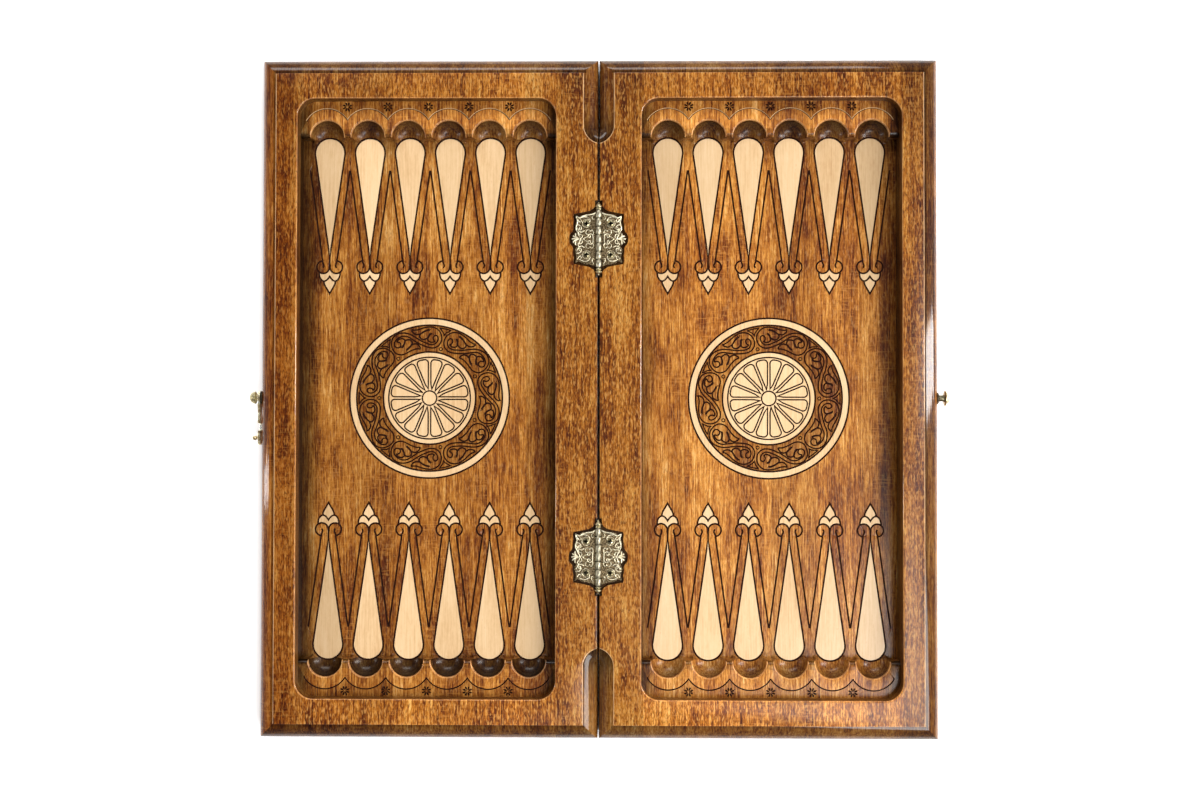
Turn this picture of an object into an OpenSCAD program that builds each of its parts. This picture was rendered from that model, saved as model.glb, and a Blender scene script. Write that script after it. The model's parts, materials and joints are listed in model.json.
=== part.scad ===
// Folding backgammon board: two carved solid-wood halves, joined by a pair of
// ornate brass butt hinges on the playing side, with light inlaid figures, a
// swinging hook on one outer side and its catch pin on the other.
// Origin: centre of the base. +X runs across both halves, +Y along the hinge
// line, +Z up out of the playing side. Millimetres.

/* [Board] */
// Length of each half along the hinge line
tray_l = 602; // [500:1:700]
// Distance from the hinge line to each outer face
half_w = 300; // [250:1:350]
// Thickness of each half
tray_h = 36; // [30:0.5:45]
// Gap between the open halves at the hinge line
joint_gap = 1.5; // [1:0.1:3]
// Corner radius of the recess
recess_r = 16; // [8:1:25]
// Width of the rail beside the hinge line
bar_w = 38; // [30:1:50]
// Width of the outer rail
rail_w = 32; // [20:1:45]
// Width of the rails at both ends
end_w = 35; // [20:1:45]
// Depth of the playing floor below the top
floor_d = 25; // [15:0.5:28]
// Depth of the end ledges below the top
ledge_d = 12; // [8:0.5:14]

/* [Edge moulding] */
// Width of the rounded edge moulding
edge_w = 12.5; // [8:0.5:16]
// Radius of the moulding
edge_r = 14; // [13:0.5:20]
// Small step at its inner side
edge_step = 0.8; // [0.4:0.1:1.5]
// Length of the stopped moulding beside the hinge line, far end
stop_far = 75; // [50:1:90]
// The same at the near end
stop_near = 80; // [50:1:90]

/* [Playing points] */
// Distance between neighbouring points
pitch = 36.4; // [34:0.1:38]
// Radius of a point's round end
point_r = 13.5; // [11:0.5:15]
// Distance of the round end's centre from the middle of the board
point_y = 222; // [215:1:228]
// Distance of the tips from the middle of the board
tip_y = 127; // [110:1:140]
// Radius of the scoops that hold the checkers
scoop_r = 15; // [14:0.5:16]
// Distance of the scoops' centres from the middle of the board
scoop_y = 234; // [228:1:238]
// Width of the cut outlines
line_w = 0.9; // [0.6:0.1:1.4]
// Depth of the cut outlines
line_d = 0.8; // [0.4:0.1:1.5]
// Thickness of the inlaid light wood
inlay_t = 2; // [1.5:0.1:3]

/* [Medallion] */
// Outer radius of the light ring
ring_ro = 72.2; // [65:0.1:76]
// Inner radius of the light ring
ring_ri = 65.9; // [60:0.1:70]
// Radius of the light disc
disc_r = 41.7; // [36:0.1:46]
// Number of petals in the rosette
petals = 16; // [12:1:20]
// Number of scrolls in the carved band
scrolls = 7; // [5:1:9]

/* [Hinges] */
// Distance of each hinge from the middle of the board
hinge_y = 140.5; // [120:0.5:160]
// Radius of the knuckles
knuckle_r = 2.5; // [2:0.1:3]
// Radius of the hinge pin
pin_r = 1.25; // [1:0.05:1.6]
// Length of the barrel
barrel_l = 51.5; // [45:0.5:60]
// Number of knuckles
knuckles = 7; // [3:2:9]
// Thickness of the leaves
leaf_t = 1.6; // [1.2:0.1:2]
// Distance from the barrel to the screws
screw_x = 10.7; // [9:0.1:12]
// Distance from the hinge's middle to the screws
screw_y = 13.9; // [12:0.1:16]

/* [Latch] */
// Depth of the latch axis below the top
latch_d = 13; // [10:0.5:15]
// Radius of the hook's eye
eye_r = 6; // [5:0.1:7]
// Radius of the catch pin's stem
stem_r = 2.95; // [2.5:0.05:3.5]
// Distance that both latch heads stand out from the sides
latch_out = 12.5; // [11:0.5:14]

/* [Hidden] */
$fn = 48;

eps = 0.01;
floor_z = tray_h - floor_d;
ledge_z = tray_h - ledge_d;
face_x = joint_gap / 2;
tray_w = half_w - face_x;
recess_x = bar_w;
recess_w = half_w - rail_w - bar_w;
recess_y = tray_l / 2 - end_w;
mid_x = recess_x + recess_w / 2;
finger_y = scoop_y - 0.5;
scoop_fillet = floor_d - ledge_d;
edge_d = edge_step + edge_r - sqrt(edge_r * edge_r - edge_w * edge_w);
point_xs = [for (i = [0:5]) mid_x + (i - 2.5) * pitch];
// Curls and trefoil below each tip, measured from the point's centre line
curl_x = 5.8;
curl_y = 118.8;
curl_r = 5.8;
lobe_x = 4.5;
lobe_y = 111.2;
lobe_r = 4.8;
leaf_tip_y = 94;
leaf_wide_y = 105.5;
leaf_wide = 5.3;
// The fold axis lies just above the tops, so that the closed halves clear
axis_z = tray_h + 0.15;
leaf_top = tray_h - 0.15;
plate_z = leaf_top - leaf_t;
knuckle_gap = 0.25;
bore_r = pin_r + 0.05;
trench_r = knuckle_r + 0.8;
trench_l = barrel_l + 17;
// One quarter of a leaf's outline, from the barrel out to the shell
leaf_edge = [[3.2, 24.4], [6.2, 22.9], [10, 22], [14.6, 21.2], [17.6, 19.4], [20.4, 19.9],
    [19.9, 15.8], [20.6, 12], [20.4, 8], [18.4, 4.8], [21.2, 4.6], [23.2, 2.7], [23.8, 0.8]];
// The same for its mortise, widening toward the hinge line
mortise_edge = [[-1, 36], [1.8, 32.5], [4.2, 27.6], [8, 24.6], [15.6, 23], [21.6, 21.9],
    [22.2, 12], [22.6, 6.8], [24.8, 4.6], [25.6, 1.5]];
// Latch: the arm lies over the washer and swings in front of both sides
latch_z = tray_h - latch_d;
reach = 2 * (axis_z - latch_z);
washer_t = 2;
arm_x = washer_t + 0.3;
arm_t = 2.4;
hook_bore = 2.25;
hook_shank = 2.2;
notch_r = stem_r + 0.35;

/* ---- plain plan shapes ---- */

module round_rect(w, l, r) {
    translate([0, r]) square([w, l - 2 * r]);
    translate([r, 0]) square([w - 2 * r, l]);
    for (x = [r, w - r], y = [r, l - r]) translate([x, y]) circle(r = r);
}

module ring_2d(r, w) {
    difference() {
        circle(r = r + w / 2, $fn = 72);
        circle(r = r - w / 2, $fn = 72);
    }
}

module stroke(p, q, w) {
    d = q - p;
    translate(p) rotate(atan2(d[1], d[0])) translate([0, -w / 2]) square([norm(d), w]);
}

// Round end at the origin and a straight taper to a tip on -Y
module teardrop(grow) {
    r = point_r + grow;
    d = (point_y - tip_y) * r / point_r;
    s = r / d;
    c = sqrt(1 - s * s);
    circle(r = r, $fn = 72);
    polygon([[r * c, -r * s], [0, -d], [-r * c, -r * s]]);
}

// Two joined lobes under the curls, and the pointed leaf below them
module lobes(grow) {
    for (s = [-1, 1]) translate([s * lobe_x, lobe_y]) circle(r = lobe_r + grow);
}

module curls(grow) {
    for (s = [-1, 1]) translate([s * curl_x, curl_y]) circle(r = curl_r - grow);
}

module crown(grow) {
    difference() {
        union() {
            lobes(grow);
            translate([-lobe_x, lobe_y - 1]) square([2 * lobe_x, curl_y - lobe_y - 1 + grow]);
        }
        curls(grow);
    }
}

module leaf_tip(grow) {
    difference() {
        polygon([[0, leaf_tip_y - 1.6 * grow], [leaf_wide + 1.1 * grow, leaf_wide_y],
            [0, lobe_y], [-leaf_wide - 1.1 * grow, leaf_wide_y]]);
        lobes(-grow);
    }
}

/* ---- one half, drawn on the +X side and mirrored for the left ---- */

module side(s) {
    if (s > 0) children();
    else mirror([1, 0, 0]) children();
}

// Repeats its children at the six points of the far (+1) or near (-1) row
module row(end) {
    for (x = point_xs) translate([x, 0, 0])
        if (end > 0) children();
        else mirror([0, 1, 0]) children();
}

// Section of the edge moulding: X inward from the face, Y up from the top
module edge_section() {
    difference() {
        translate([-1, -edge_d - 1]) square([edge_w + 1, edge_d + 2]);
        translate([edge_w, -edge_step - edge_r]) circle(r = edge_r, $fn = 96);
    }
}

module edge_cut(l) {
    rotate([90, 0, 0]) translate([0, 0, -l / 2]) linear_extrude(height = l) edge_section();
}

// Moulding beside the hinge line, ended by the round of the cutter
module stopped_edge(l) {
    bearing = 4;
    run = l - sqrt(pow(edge_w + bearing, 2) - bearing * bearing);
    y = tray_l / 2 - run;
    translate([face_x, y + (run + 1) / 2, tray_h]) edge_cut(run + 1);
    translate([face_x - bearing, y, tray_h])
        rotate_extrude($fn = 96) translate([bearing, 0]) edge_section();
}

module edge_moulding(far, near) {
    translate([half_w, 0, tray_h]) mirror([1, 0, 0]) edge_cut(tray_l + 2);
    for (s = [0, 1]) mirror([0, s, 0])
        translate([half_w / 2, tray_l / 2, tray_h]) rotate([0, 0, -90]) edge_cut(half_w + 2);
    stopped_edge(far);
    mirror([0, 1, 0]) stopped_edge(near);
}

module recess() {
    translate([recess_x, -recess_y, ledge_z]) linear_extrude(height = ledge_d + 1)
        round_rect(recess_w, 2 * recess_y, recess_r);
    translate([recess_x, -finger_y, floor_z]) cube([recess_w, 2 * finger_y, floor_d]);
}

module scoop() {
    translate([0, scoop_y, 0]) rotate_extrude($fn = 72) {
        translate([0, floor_z]) square([scoop_r - scoop_fillet, scoop_fillet + 0.5]);
        translate([0, ledge_z]) square([scoop_r, 0.5]);
        intersection() {
            translate([scoop_r - scoop_fillet, ledge_z]) circle(r = scoop_fillet, $fn = 72);
            translate([0, floor_z]) square([scoop_r, scoop_fillet]);
        }
    }
}

// Cut outlines on the floor and on the ledge around one point
module point_lines() {
    translate([0, 0, floor_z - line_d]) linear_extrude(height = line_d + 1) {
        for (s = [-1, 1]) {
            stroke([s * pitch / 2, point_y - 14.7], [s * 6.4, curl_y + curl_r - 1], line_w);
            translate([s * curl_x, curl_y]) ring_2d(curl_r, line_w);
        }
        stroke([0, tip_y + 1], [0, curl_y - 1], line_w);
    }
    translate([0, 0, ledge_z - line_d]) linear_extrude(height = line_d + 1) intersection() {
        translate([0, scoop_y + 4]) ring_2d(21.4, line_w);
        translate([-pitch / 2, scoop_y + 15]) square([pitch, 20]);
    }
}

module flowers() {
    for (i = [0:4], a = [0, 60, 120])
        translate([point_xs[i] + pitch / 2, scoop_y + 27, ledge_z - line_d])
            rotate([0, 0, a]) translate([-4.1, -0.6, 0]) cube([8.2, 1.2, line_d + 1]);
}

// Pockets for the light figures
module pocket(t = inlay_t) {
    translate([0, 0, floor_z - t]) linear_extrude(height = t + 1) children();
}

module figure_pockets() {
    g = line_w / 2;
    for (end = [-1, 1]) row(end) {
        translate([0, point_y, 0]) pocket() teardrop(g);
        pocket() crown(g);
        pocket() leaf_tip(g);
    }
    translate([mid_x, 0, 0]) {
        pocket() ring_2d((ring_ro + ring_ri) / 2, ring_ro - ring_ri + line_w);
        pocket() circle(r = disc_r + g, $fn = 96);
    }
}

// Carved band between the ring and the disc: paired curls joined by a stroke
module scroll_band() {
    r = (ring_ri + disc_r) / 2;
    curl = 9.4;
    a = 360 / scrolls / 4;
    translate([mid_x, 0, 0]) pocket(line_d)
        for (i = [0:scrolls - 1]) rotate((i + 0.5) * 360 / scrolls) {
            for (s = [-1, 1]) rotate(s * a) translate([r, 0]) {
                ring_2d(curl, line_w);
                ring_2d(curl * 0.4, line_w);
            }
            stroke([(r + curl * 0.6) * cos(a), -r * sin(a) + curl * 0.6],
                [(r - curl * 0.6) * cos(a), r * sin(a) - curl * 0.6], line_w);
            rotate(180 / scrolls) translate([disc_r + 3.8, 0]) circle(r = 0.9);
        }
}

module mortise(y) {
    poly = concat(mortise_edge, [for (i = [len(mortise_edge) - 1:-1:0])
        [mortise_edge[i][0], -mortise_edge[i][1]]]);
    translate([0, y, plate_z]) linear_extrude(height = leaf_t + 1) polygon(poly);
    translate([0, y - trench_l / 2, axis_z]) rotate([-90, 0, 0]) cylinder(r = trench_r, h = trench_l);
    for (s = [-1, 1]) translate([screw_x, y + s * screw_y, plate_z - 13])
        cylinder(r = 1.3, h = 14, $fn = 24);
}

module latch_hole(r) {
    translate([half_w - 16, 0, latch_z]) rotate([0, 90, 0]) cylinder(r = r, h = 17, $fn = 24);
}

module half_board(far, near) {
    difference() {
        translate([face_x, -tray_l / 2, 0]) cube([tray_w, tray_l, tray_h]);
        edge_moulding(far, near);
        recess();
        for (end = [-1, 1]) row(end) { scoop(); point_lines(); }
        flowers();
        mirror([0, 1, 0]) flowers();
        figure_pockets();
        scroll_band();
        for (s = [-1, 1]) mortise(s * hinge_y);
        latch_hole(2);
    }
}

/* ---- light figures ---- */

module inlay() {
    translate([0, 0, floor_z - inlay_t]) linear_extrude(height = inlay_t) children();
}

module points(end) {
    row(end) translate([0, point_y, 0]) inlay() teardrop(-line_w / 2);
}

module finials(end) {
    row(end) inlay() { crown(-line_w / 2); leaf_tip(-line_w / 2); }
}

module light_ring() {
    translate([mid_x, 0, 0]) inlay()
        ring_2d((ring_ro + ring_ri) / 2, ring_ro - ring_ri - line_w);
}

// Light disc cut with a hub circle, an outer circle and pairs of spokes
module rosette() {
    cut = 0.6;
    spoke_gap = 1.1;
    translate([mid_x, 0, 0]) difference() {
        inlay() circle(r = disc_r - line_w / 2, $fn = 96);
        translate([0, 0, floor_z - cut]) {
            linear_extrude(height = 1) ring_2d(36.9, line_w);
            linear_extrude(height = 1) ring_2d(7.2, line_w);
            for (i = [0:petals - 1], s = [-1, 1]) rotate([0, 0, i * 360 / petals])
                translate([9.4, s * spoke_gap - 0.35, 0]) cube([24.6, 0.7, 1]);
        }
    }
}

/* ---- hinges: barrel along Y, leaf on the +X side ---- */

module leaf_outline() {
    polygon(concat([[0, 24.4]], leaf_edge,
        [for (i = [len(leaf_edge) - 1:-1:0]) [leaf_edge[i][0], -leaf_edge[i][1]]],
        [[0, -24.4]]));
}

function knuckle_y(i) = -barrel_l / 2 + i * barrel_l / knuckles;

// Even knuckles belong to the left leaf and odd ones to the right
module leaf(first) {
    kl = barrel_l / knuckles;
    relief = knuckle_r + 0.3;
    difference() {
        union() {
            translate([0, 0, plate_z]) linear_extrude(height = leaf_t - 0.4) leaf_outline();
            translate([0, 0, plate_z]) linear_extrude(height = leaf_t) difference() {
                leaf_outline();
                translate([3, 0]) scale(0.9) translate([-3, 0]) leaf_outline();
            }
            for (s = [-1, 1]) translate([screw_x, s * screw_y, plate_z])
                cylinder(r = 3.6, h = leaf_t, $fn = 36);
            for (i = [first:2:knuckles - 1])
                translate([0, knuckle_y(i) + knuckle_gap / 2, axis_z]) rotate([-90, 0, 0])
                    cylinder(r = knuckle_r, h = kl - knuckle_gap);
        }
        for (i = [1 - first:2:knuckles - 1])
            translate([-relief, knuckle_y(i) - knuckle_gap / 2, plate_z - 1])
                cube([2 * relief, kl + knuckle_gap, 8]);
        translate([-3, -barrel_l / 2 - 1, axis_z]) rotate([-90, 0, 0])
            cylinder(r = bore_r, h = barrel_l + 2);
        for (i = [first:2:knuckles - 1])
            translate([-relief - 1, knuckle_y(i) - 1, plate_z - 1]) cube([1 + relief - 2.6, kl + 2, 8]);
        translate([0, -barrel_l / 2 - 1, axis_z]) rotate([-90, 0, 0])
            cylinder(r = bore_r, h = barrel_l + 2);
        for (s = [-1, 1]) translate([screw_x, s * screw_y, plate_z]) {
            translate([0, 0, -1]) cylinder(r = 1.5, h = 4, $fn = 24);
            translate([0, 0, 0.3]) cylinder(r1 = 1.5, r2 = 2.9, h = 1.4, $fn = 36);
        }
    }
}

module hinge_pin(y) {
    translate([0, y - barrel_l / 2 - 1.4, axis_z]) rotate([-90, 0, 0]) rotate_extrude($fn = 36)
        union() {
            square([pin_r, barrel_l + 1.6]);
            translate([0, barrel_l + 1.5]) square([2.4, 1.2]);
            translate([0, barrel_l + 2.6]) square([1.8, 1]);
            intersection() {
                translate([0, barrel_l + 4.8]) circle(r = 2.3);
                translate([0, barrel_l + 2.6]) square([3, 4]);
            }
            polygon([[0, barrel_l + 6], [1.7, barrel_l + 6.2], [0, barrel_l + 8.6]]);
        }
}

module pin_cap(y) {
    y0 = y - barrel_l / 2;
    translate([0, y0, axis_z]) rotate([90, 0, 0]) rotate_extrude($fn = 36)
        difference() {
            union() {
                translate([0, 0.2]) square([2.2, 5.2]);
                translate([1.5, 1.3]) circle(r = 1.05, $fn = 24);
                translate([1.5, 4.1]) circle(r = 1.05, $fn = 24);
                intersection() {
                    translate([0, 5.4]) circle(r = 1.9);
                    translate([0, 5.4]) square([3, 2]);
                }
            }
            translate([-1, 0.1]) square([1 + pin_r, 1.4]);
        }
}

module screw_pair(y) {
    slot = 0.5;
    for (s = [-1, 1]) translate([screw_x, y + s * screw_y, plate_z]) difference() {
        union() {
            translate([0, 0, -12]) cylinder(r = 1.2, h = 12.6, $fn = 24);
            translate([0, 0, 0.4]) cylinder(r1 = 1.3, r2 = 2.6, h = 1.25, $fn = 36);
        }
        for (a = [0, 90]) rotate([0, 0, a]) translate([-1.3, -slot / 2, 1])
            cube([2.6, slot, 1]);
    }
}

/* ---- latch: axis along -X on the left side, arm pointing to -Y ---- */

module arm_outline() {
    difference() {
        union() {
            circle(r = eye_r);
            translate([-reach - 12, -3.6]) square([reach + 12, 7.2]);
            translate([-reach, -1.2]) circle(r = notch_r + 3.4);
            translate([-reach - 12, 0]) circle(r = 3.6);
        }
        circle(r = hook_bore);
        translate([-reach, 0]) circle(r = notch_r);
        intersection() {
            ring_2d(reach, 2 * notch_r);
            translate([-reach - 6, 0]) square([12, 16]);
        }
    }
}

// Stands the plan shape up against the left side, X becoming the board's Y
module on_left(x, t) {
    translate([-half_w - x - t, 0, latch_z]) rotate([90, 0, 90])
        linear_extrude(height = t) children();
}

module knob_section(r) {
    intersection() {
        circle(r = r);
        translate([0, -r]) square([r, 2 * r]);
    }
}

module hook_body() {
    on_left(arm_x, arm_t) arm_outline();
    translate([-half_w - arm_x - arm_t, -reach - 9.6, latch_z]) rotate([0, -90, 0])
        rotate_extrude($fn = 36) {
            translate([0, -0.5]) square([1.4, 3]);
            translate([0, 3.4]) knob_section(2.1);
        }
}

module outward(s, z = latch_z) {
    translate([s * half_w, 0, z]) rotate([0, s * 90, 0]) rotate_extrude($fn = 48) children();
}

// Domed head section whose top stands at latch_out
module dome(r, base) {
    h = latch_out - base;
    big = (r * r + h * h) / (2 * h);
    intersection() {
        translate([0, base]) square([r, h]);
        translate([0, latch_out - big]) circle(r = big, $fn = 96);
    }
}

module screw_head() {
    base = arm_x + arm_t + 0.3;
    difference() {
        outward(-1) {
            translate([0, -14]) square([1.9, 14.1]);
            square([hook_shank, base + 0.5]);
            translate([0, base]) square([3.4, 1]);
            translate([0, base + 0.9]) square([4.4, 0.9]);
            dome(5.5, base + 1.7);
        }
        translate([-half_w - latch_out - 1, -0.6, latch_z - 6]) cube([2, 1.2, 12]);
    }
}

module washer(s, r) {
    outward(s) translate([2.4, 0]) square([r - 2.4, washer_t]);
}

module catch_head() {
    outward(1) {
        translate([0, -14]) square([1.9, 14.1]);
        square([2.2, washer_t + 0.1]);
        translate([0, washer_t + 0.05]) square([stem_r, 5.8]);
        translate([0, 7.7]) square([7, 1.2]);
        dome(7, 8.8);
    }
}

/* ---- nodes ---- */

module left_tray() { color([0.62, 0.36, 0.14]) rotate([0, 0, 180]) half_board(stop_near, stop_far); }
module right_tray() { color([0.64, 0.38, 0.16]) half_board(stop_far, stop_near); }
module left_far_points() { color([0.93, 0.76, 0.53]) side(-1) points(1); }
module left_near_points() { color([0.93, 0.76, 0.53]) side(-1) points(-1); }
module right_far_points() { color([0.93, 0.76, 0.53]) side(1) points(1); }
module right_near_points() { color([0.93, 0.76, 0.53]) side(1) points(-1); }
module left_far_finials() { color([0.96, 0.82, 0.6]) side(-1) finials(1); }
module left_near_finials() { color([0.96, 0.82, 0.6]) side(-1) finials(-1); }
module right_far_finials() { color([0.96, 0.82, 0.6]) side(1) finials(1); }
module right_near_finials() { color([0.96, 0.82, 0.6]) side(1) finials(-1); }
module left_ring() { color([0.94, 0.8, 0.56]) side(-1) light_ring(); }
module left_rosette() { color([0.94, 0.8, 0.56]) side(-1) rosette(); }
module right_ring() { color([0.94, 0.8, 0.56]) side(1) light_ring(); }
module right_rosette() { color([0.94, 0.8, 0.56]) side(1) rosette(); }
module far_left_leaf() { color([0.6, 0.53, 0.36]) translate([0, hinge_y, 0]) side(-1) leaf(0); }
module far_right_leaf() { color([0.6, 0.53, 0.36]) translate([0, hinge_y, 0]) leaf(1); }
module near_left_leaf() { color([0.6, 0.53, 0.36]) translate([0, -hinge_y, 0]) side(-1) leaf(0); }
module near_right_leaf() { color([0.6, 0.53, 0.36]) translate([0, -hinge_y, 0]) leaf(1); }
module far_hinge_pin() { color([0.78, 0.72, 0.52]) hinge_pin(hinge_y); }
module near_hinge_pin() { color([0.78, 0.72, 0.52]) hinge_pin(-hinge_y); }
module far_pin_cap() { color([0.78, 0.72, 0.52]) pin_cap(hinge_y); }
module near_pin_cap() { color([0.78, 0.72, 0.52]) pin_cap(-hinge_y); }
module far_left_screws() { color([0.7, 0.62, 0.42]) side(-1) screw_pair(hinge_y); }
module far_right_screws() { color([0.7, 0.62, 0.42]) screw_pair(hinge_y); }
module near_left_screws() { color([0.7, 0.62, 0.42]) side(-1) screw_pair(-hinge_y); }
module near_right_screws() { color([0.7, 0.62, 0.42]) screw_pair(-hinge_y); }
module latch_hook() { color([0.66, 0.6, 0.46]) hook_body(); }
module hook_screw() { color([0.78, 0.7, 0.5]) screw_head(); }
module hook_washer() { color([0.4, 0.34, 0.26]) washer(-1, 6); }
module catch_pin() { color([0.78, 0.74, 0.62]) catch_head(); }
module catch_washer() { color([0.4, 0.34, 0.26]) washer(1, 5.3); }

left_tray();
right_tray();
left_far_points();
left_near_points();
right_far_points();
right_near_points();
left_far_finials();
left_near_finials();
right_far_finials();
right_near_finials();
left_ring();
left_rosette();
right_ring();
right_rosette();
far_left_leaf();
far_right_leaf();
near_left_leaf();
near_right_leaf();
far_hinge_pin();
near_hinge_pin();
far_pin_cap();
near_pin_cap();
far_left_screws();
far_right_screws();
near_left_screws();
near_right_screws();
latch_hook();
hook_screw();
hook_washer();
catch_pin();
catch_washer();
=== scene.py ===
"""Visual model of the carved folding backgammon board, built around its CAD frame.

Plan shapes are drawn in millimetres for the +X half and mirrored for the other one.
"""

import functools
import json
import math

import bpy
import numpy as np
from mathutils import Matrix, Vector
from mathutils.geometry import delaunay_2d_cdt


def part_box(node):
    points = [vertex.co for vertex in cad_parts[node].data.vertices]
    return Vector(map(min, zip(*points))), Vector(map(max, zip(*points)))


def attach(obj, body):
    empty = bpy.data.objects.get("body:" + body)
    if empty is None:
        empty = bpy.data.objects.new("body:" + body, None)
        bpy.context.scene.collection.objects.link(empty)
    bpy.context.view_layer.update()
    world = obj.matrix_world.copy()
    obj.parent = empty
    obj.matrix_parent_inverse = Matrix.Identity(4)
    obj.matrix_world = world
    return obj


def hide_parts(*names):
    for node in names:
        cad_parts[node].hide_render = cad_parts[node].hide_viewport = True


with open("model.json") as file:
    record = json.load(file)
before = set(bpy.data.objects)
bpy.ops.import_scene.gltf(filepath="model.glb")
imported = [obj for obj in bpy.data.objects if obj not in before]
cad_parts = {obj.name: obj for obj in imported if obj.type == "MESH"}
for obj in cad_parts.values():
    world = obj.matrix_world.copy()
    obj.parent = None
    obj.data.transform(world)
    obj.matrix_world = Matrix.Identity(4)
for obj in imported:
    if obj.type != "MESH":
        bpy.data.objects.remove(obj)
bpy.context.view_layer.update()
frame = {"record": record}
MM = 0.001


def box_mm(node):
    lo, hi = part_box(node)
    return np.array(lo) / MM, np.array(hi) / MM


# ---- sizes, in mm, measured from the frame where it holds them -----------------------

TRAY_LO, TRAY_HI = box_mm("right_tray")
FACE = TRAY_LO[0]                # hinge-line face of a half
HALF_W, HALF_L, TOP = TRAY_HI
POCKET_Z, FLOOR = (corner[2] for corner in box_mm("right_far_points"))
LEDGE = TOP - 12
BAR, RAIL, END = 38, 32, 35      # rail widths: beside the hinge line, outer, at the ends
RECESS_X, RECESS_Y, RECESS_R = (BAR, HALF_W - RAIL), HALF_L - END, 16
EDGE_W, EDGE_R, EDGE_STEP = 12.5, 14, 0.8
STOP = {1: 75, -1: 80}           # length of the stopped moulding, far and near
BEARING = 4                      # radius of the moulding cutter's guide
REACH_IN = math.sqrt((EDGE_W + BEARING) ** 2 - BEARING ** 2)
RUN_START = {end: HALF_L - length + REACH_IN for end, length in STOP.items()}
PITCH, POINT_R, POINT_Y, TIP_Y = 36.4, 13.5, 222, 127
SCOOP_R, SCOOP_Y = 15, 234
FINGER_Y = SCOOP_Y - 0.5         # where the ledge drops to the floor between the scoops
ARCH_R, ARCH_Y = 21.4, SCOOP_Y + 4
MID = sum(RECESS_X) / 2
POINT_XS = MID + (np.arange(6) - 2.5) * PITCH
LINE, CUT = 0.78, 0.75           # half width and depth of the cut outlines
RING_O, RING_I, DISC = 72.2, 65.9, 41.7
PETALS, SCROLLS = 16, 7
LEAF_LO, LEAF_HI = box_mm("far_left_leaf")
HINGE_Y = (LEAF_LO[1] + LEAF_HI[1]) / 2
PLATE_Z = LEAF_LO[2]             # underside of the hinge leaves
LEAF_TOP = TOP - 0.15
BEHAVIOUR = frame["record"]["behaviour"]
JOINTS = {j["name"]: j for j in BEHAVIOUR["joints"]}
BODY = {node: body for body, nodes in BEHAVIOUR["bodies"].items() for node in nodes}
AXIS_Z = JOINTS["board_fold"]["pos_m"][2] / MM
LATCH_Z = JOINTS["hook_swing"]["pos_m"][2] / MM
KNUCKLE_R, BARREL_L, KNUCKLES = 2.5, 51.5, 7
TRENCH_R, TRENCH_HALF = KNUCKLE_R + 0.8, BARREL_L / 2 + 8.5
SCREW_X, SCREW_Y = 10.7, 13.9


# ---- plan curves ---------------------------------------------------------------------

def arc(cx, cy, r, a0, a1, step=0.9):
    """Points on an arc of radius r, from angle a0 to a1 in degrees."""
    n = max(3, math.ceil(abs(math.radians(a1 - a0)) * max(r, 0.5) / step))
    t = np.radians(np.linspace(a0, a1, n + 1))
    return np.c_[cx + r * np.cos(t), cy + r * np.sin(t)]


def circle(r, step=1.2, at=(0, 0)):
    return arc(*at, r, 0, 360, step)[:-1]


def smooth(points, step=0.9):
    """Catmull-Rom curve through a few points."""
    p = np.array(points, float)
    p = np.vstack([2 * p[0] - p[1], p, 2 * p[-1] - p[-2]])
    out = []
    for a, b, c, d in zip(p, p[1:], p[2:], p[3:]):
        n = max(1, math.ceil(np.linalg.norm(c - b) / step))
        t = np.linspace(0, 1, n, endpoint=False)[:, None]
        out.append(0.5 * (2 * b + (c - a) * t + (2 * a - 5 * b + 4 * c - d) * t ** 2
                          + (3 * b - a - 3 * c + d) * t ** 3))
    return np.vstack(out + [p[-2:-1]])


def join(*parts):
    """One line from several, without repeated points."""
    p = np.vstack(parts)
    return p[np.r_[True, np.linalg.norm(np.diff(p, axis=0), axis=1) > 1e-3]]


ACROSS, ALONG = np.array([-1, 1]), np.array([1, -1])


def doubled(p, by):
    """The line, then its mirror image (by ACROSS in X, by ALONG in Y) run backward."""
    return join(p, (p * by)[::-1])


def turn(p, degrees, at=(0, 0)):
    a = math.radians(degrees)
    m = np.array([[math.cos(a), math.sin(a)], [-math.sin(a), math.cos(a)]])
    return np.asarray(p) @ m + at


def offset(p, d, closed):
    """The line moved sideways by d, to the left of its direction."""
    q = np.vstack([p[-1:], p, p[:1]]) if closed else np.vstack(
        [2 * p[0] - p[1], p, 2 * p[-1] - p[-2]])
    t = np.diff(q, axis=0)
    t /= np.linalg.norm(t, axis=1)[:, None] + 1e-12
    n = np.c_[-t[:, 1], t[:, 0]]
    mid = n[:-1] + n[1:]
    mid /= np.maximum(np.linalg.norm(mid, axis=1), 0.3)[:, None]
    stretch = np.minimum(1 / np.maximum((mid * n[1:]).sum(1), 0.3), 2.5)
    return p + mid * (np.broadcast_to(d, len(p)) * stretch)[:, None]


def turns_left(poly):
    return np.sum(poly[:, 0] * np.roll(poly[:, 1], -1) - np.roll(poly[:, 0], -1) * poly[:, 1]) > 0


def shrink(poly, d):
    """A closed outline moved inward by d, whichever way it runs."""
    return offset(poly, d if turns_left(poly) else -d, True)


def inside(p, poly):
    """Which points lie inside a closed polygon."""
    box = np.all((p > poly.min(0)) & (p < poly.max(0)), axis=1).nonzero()[0]
    x, y = p[box].T
    hit = np.zeros(len(box), bool)
    for (x0, y0), (x1, y1) in zip(poly, np.roll(poly, -1, axis=0)):
        if y0 != y1:
            hit ^= ((y0 > y) != (y1 > y)) & (x < (x1 - x0) * (y - y0) / (y1 - y0) + x0)
    out = np.zeros(len(p), bool)
    out[box] = hit
    return out


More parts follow.
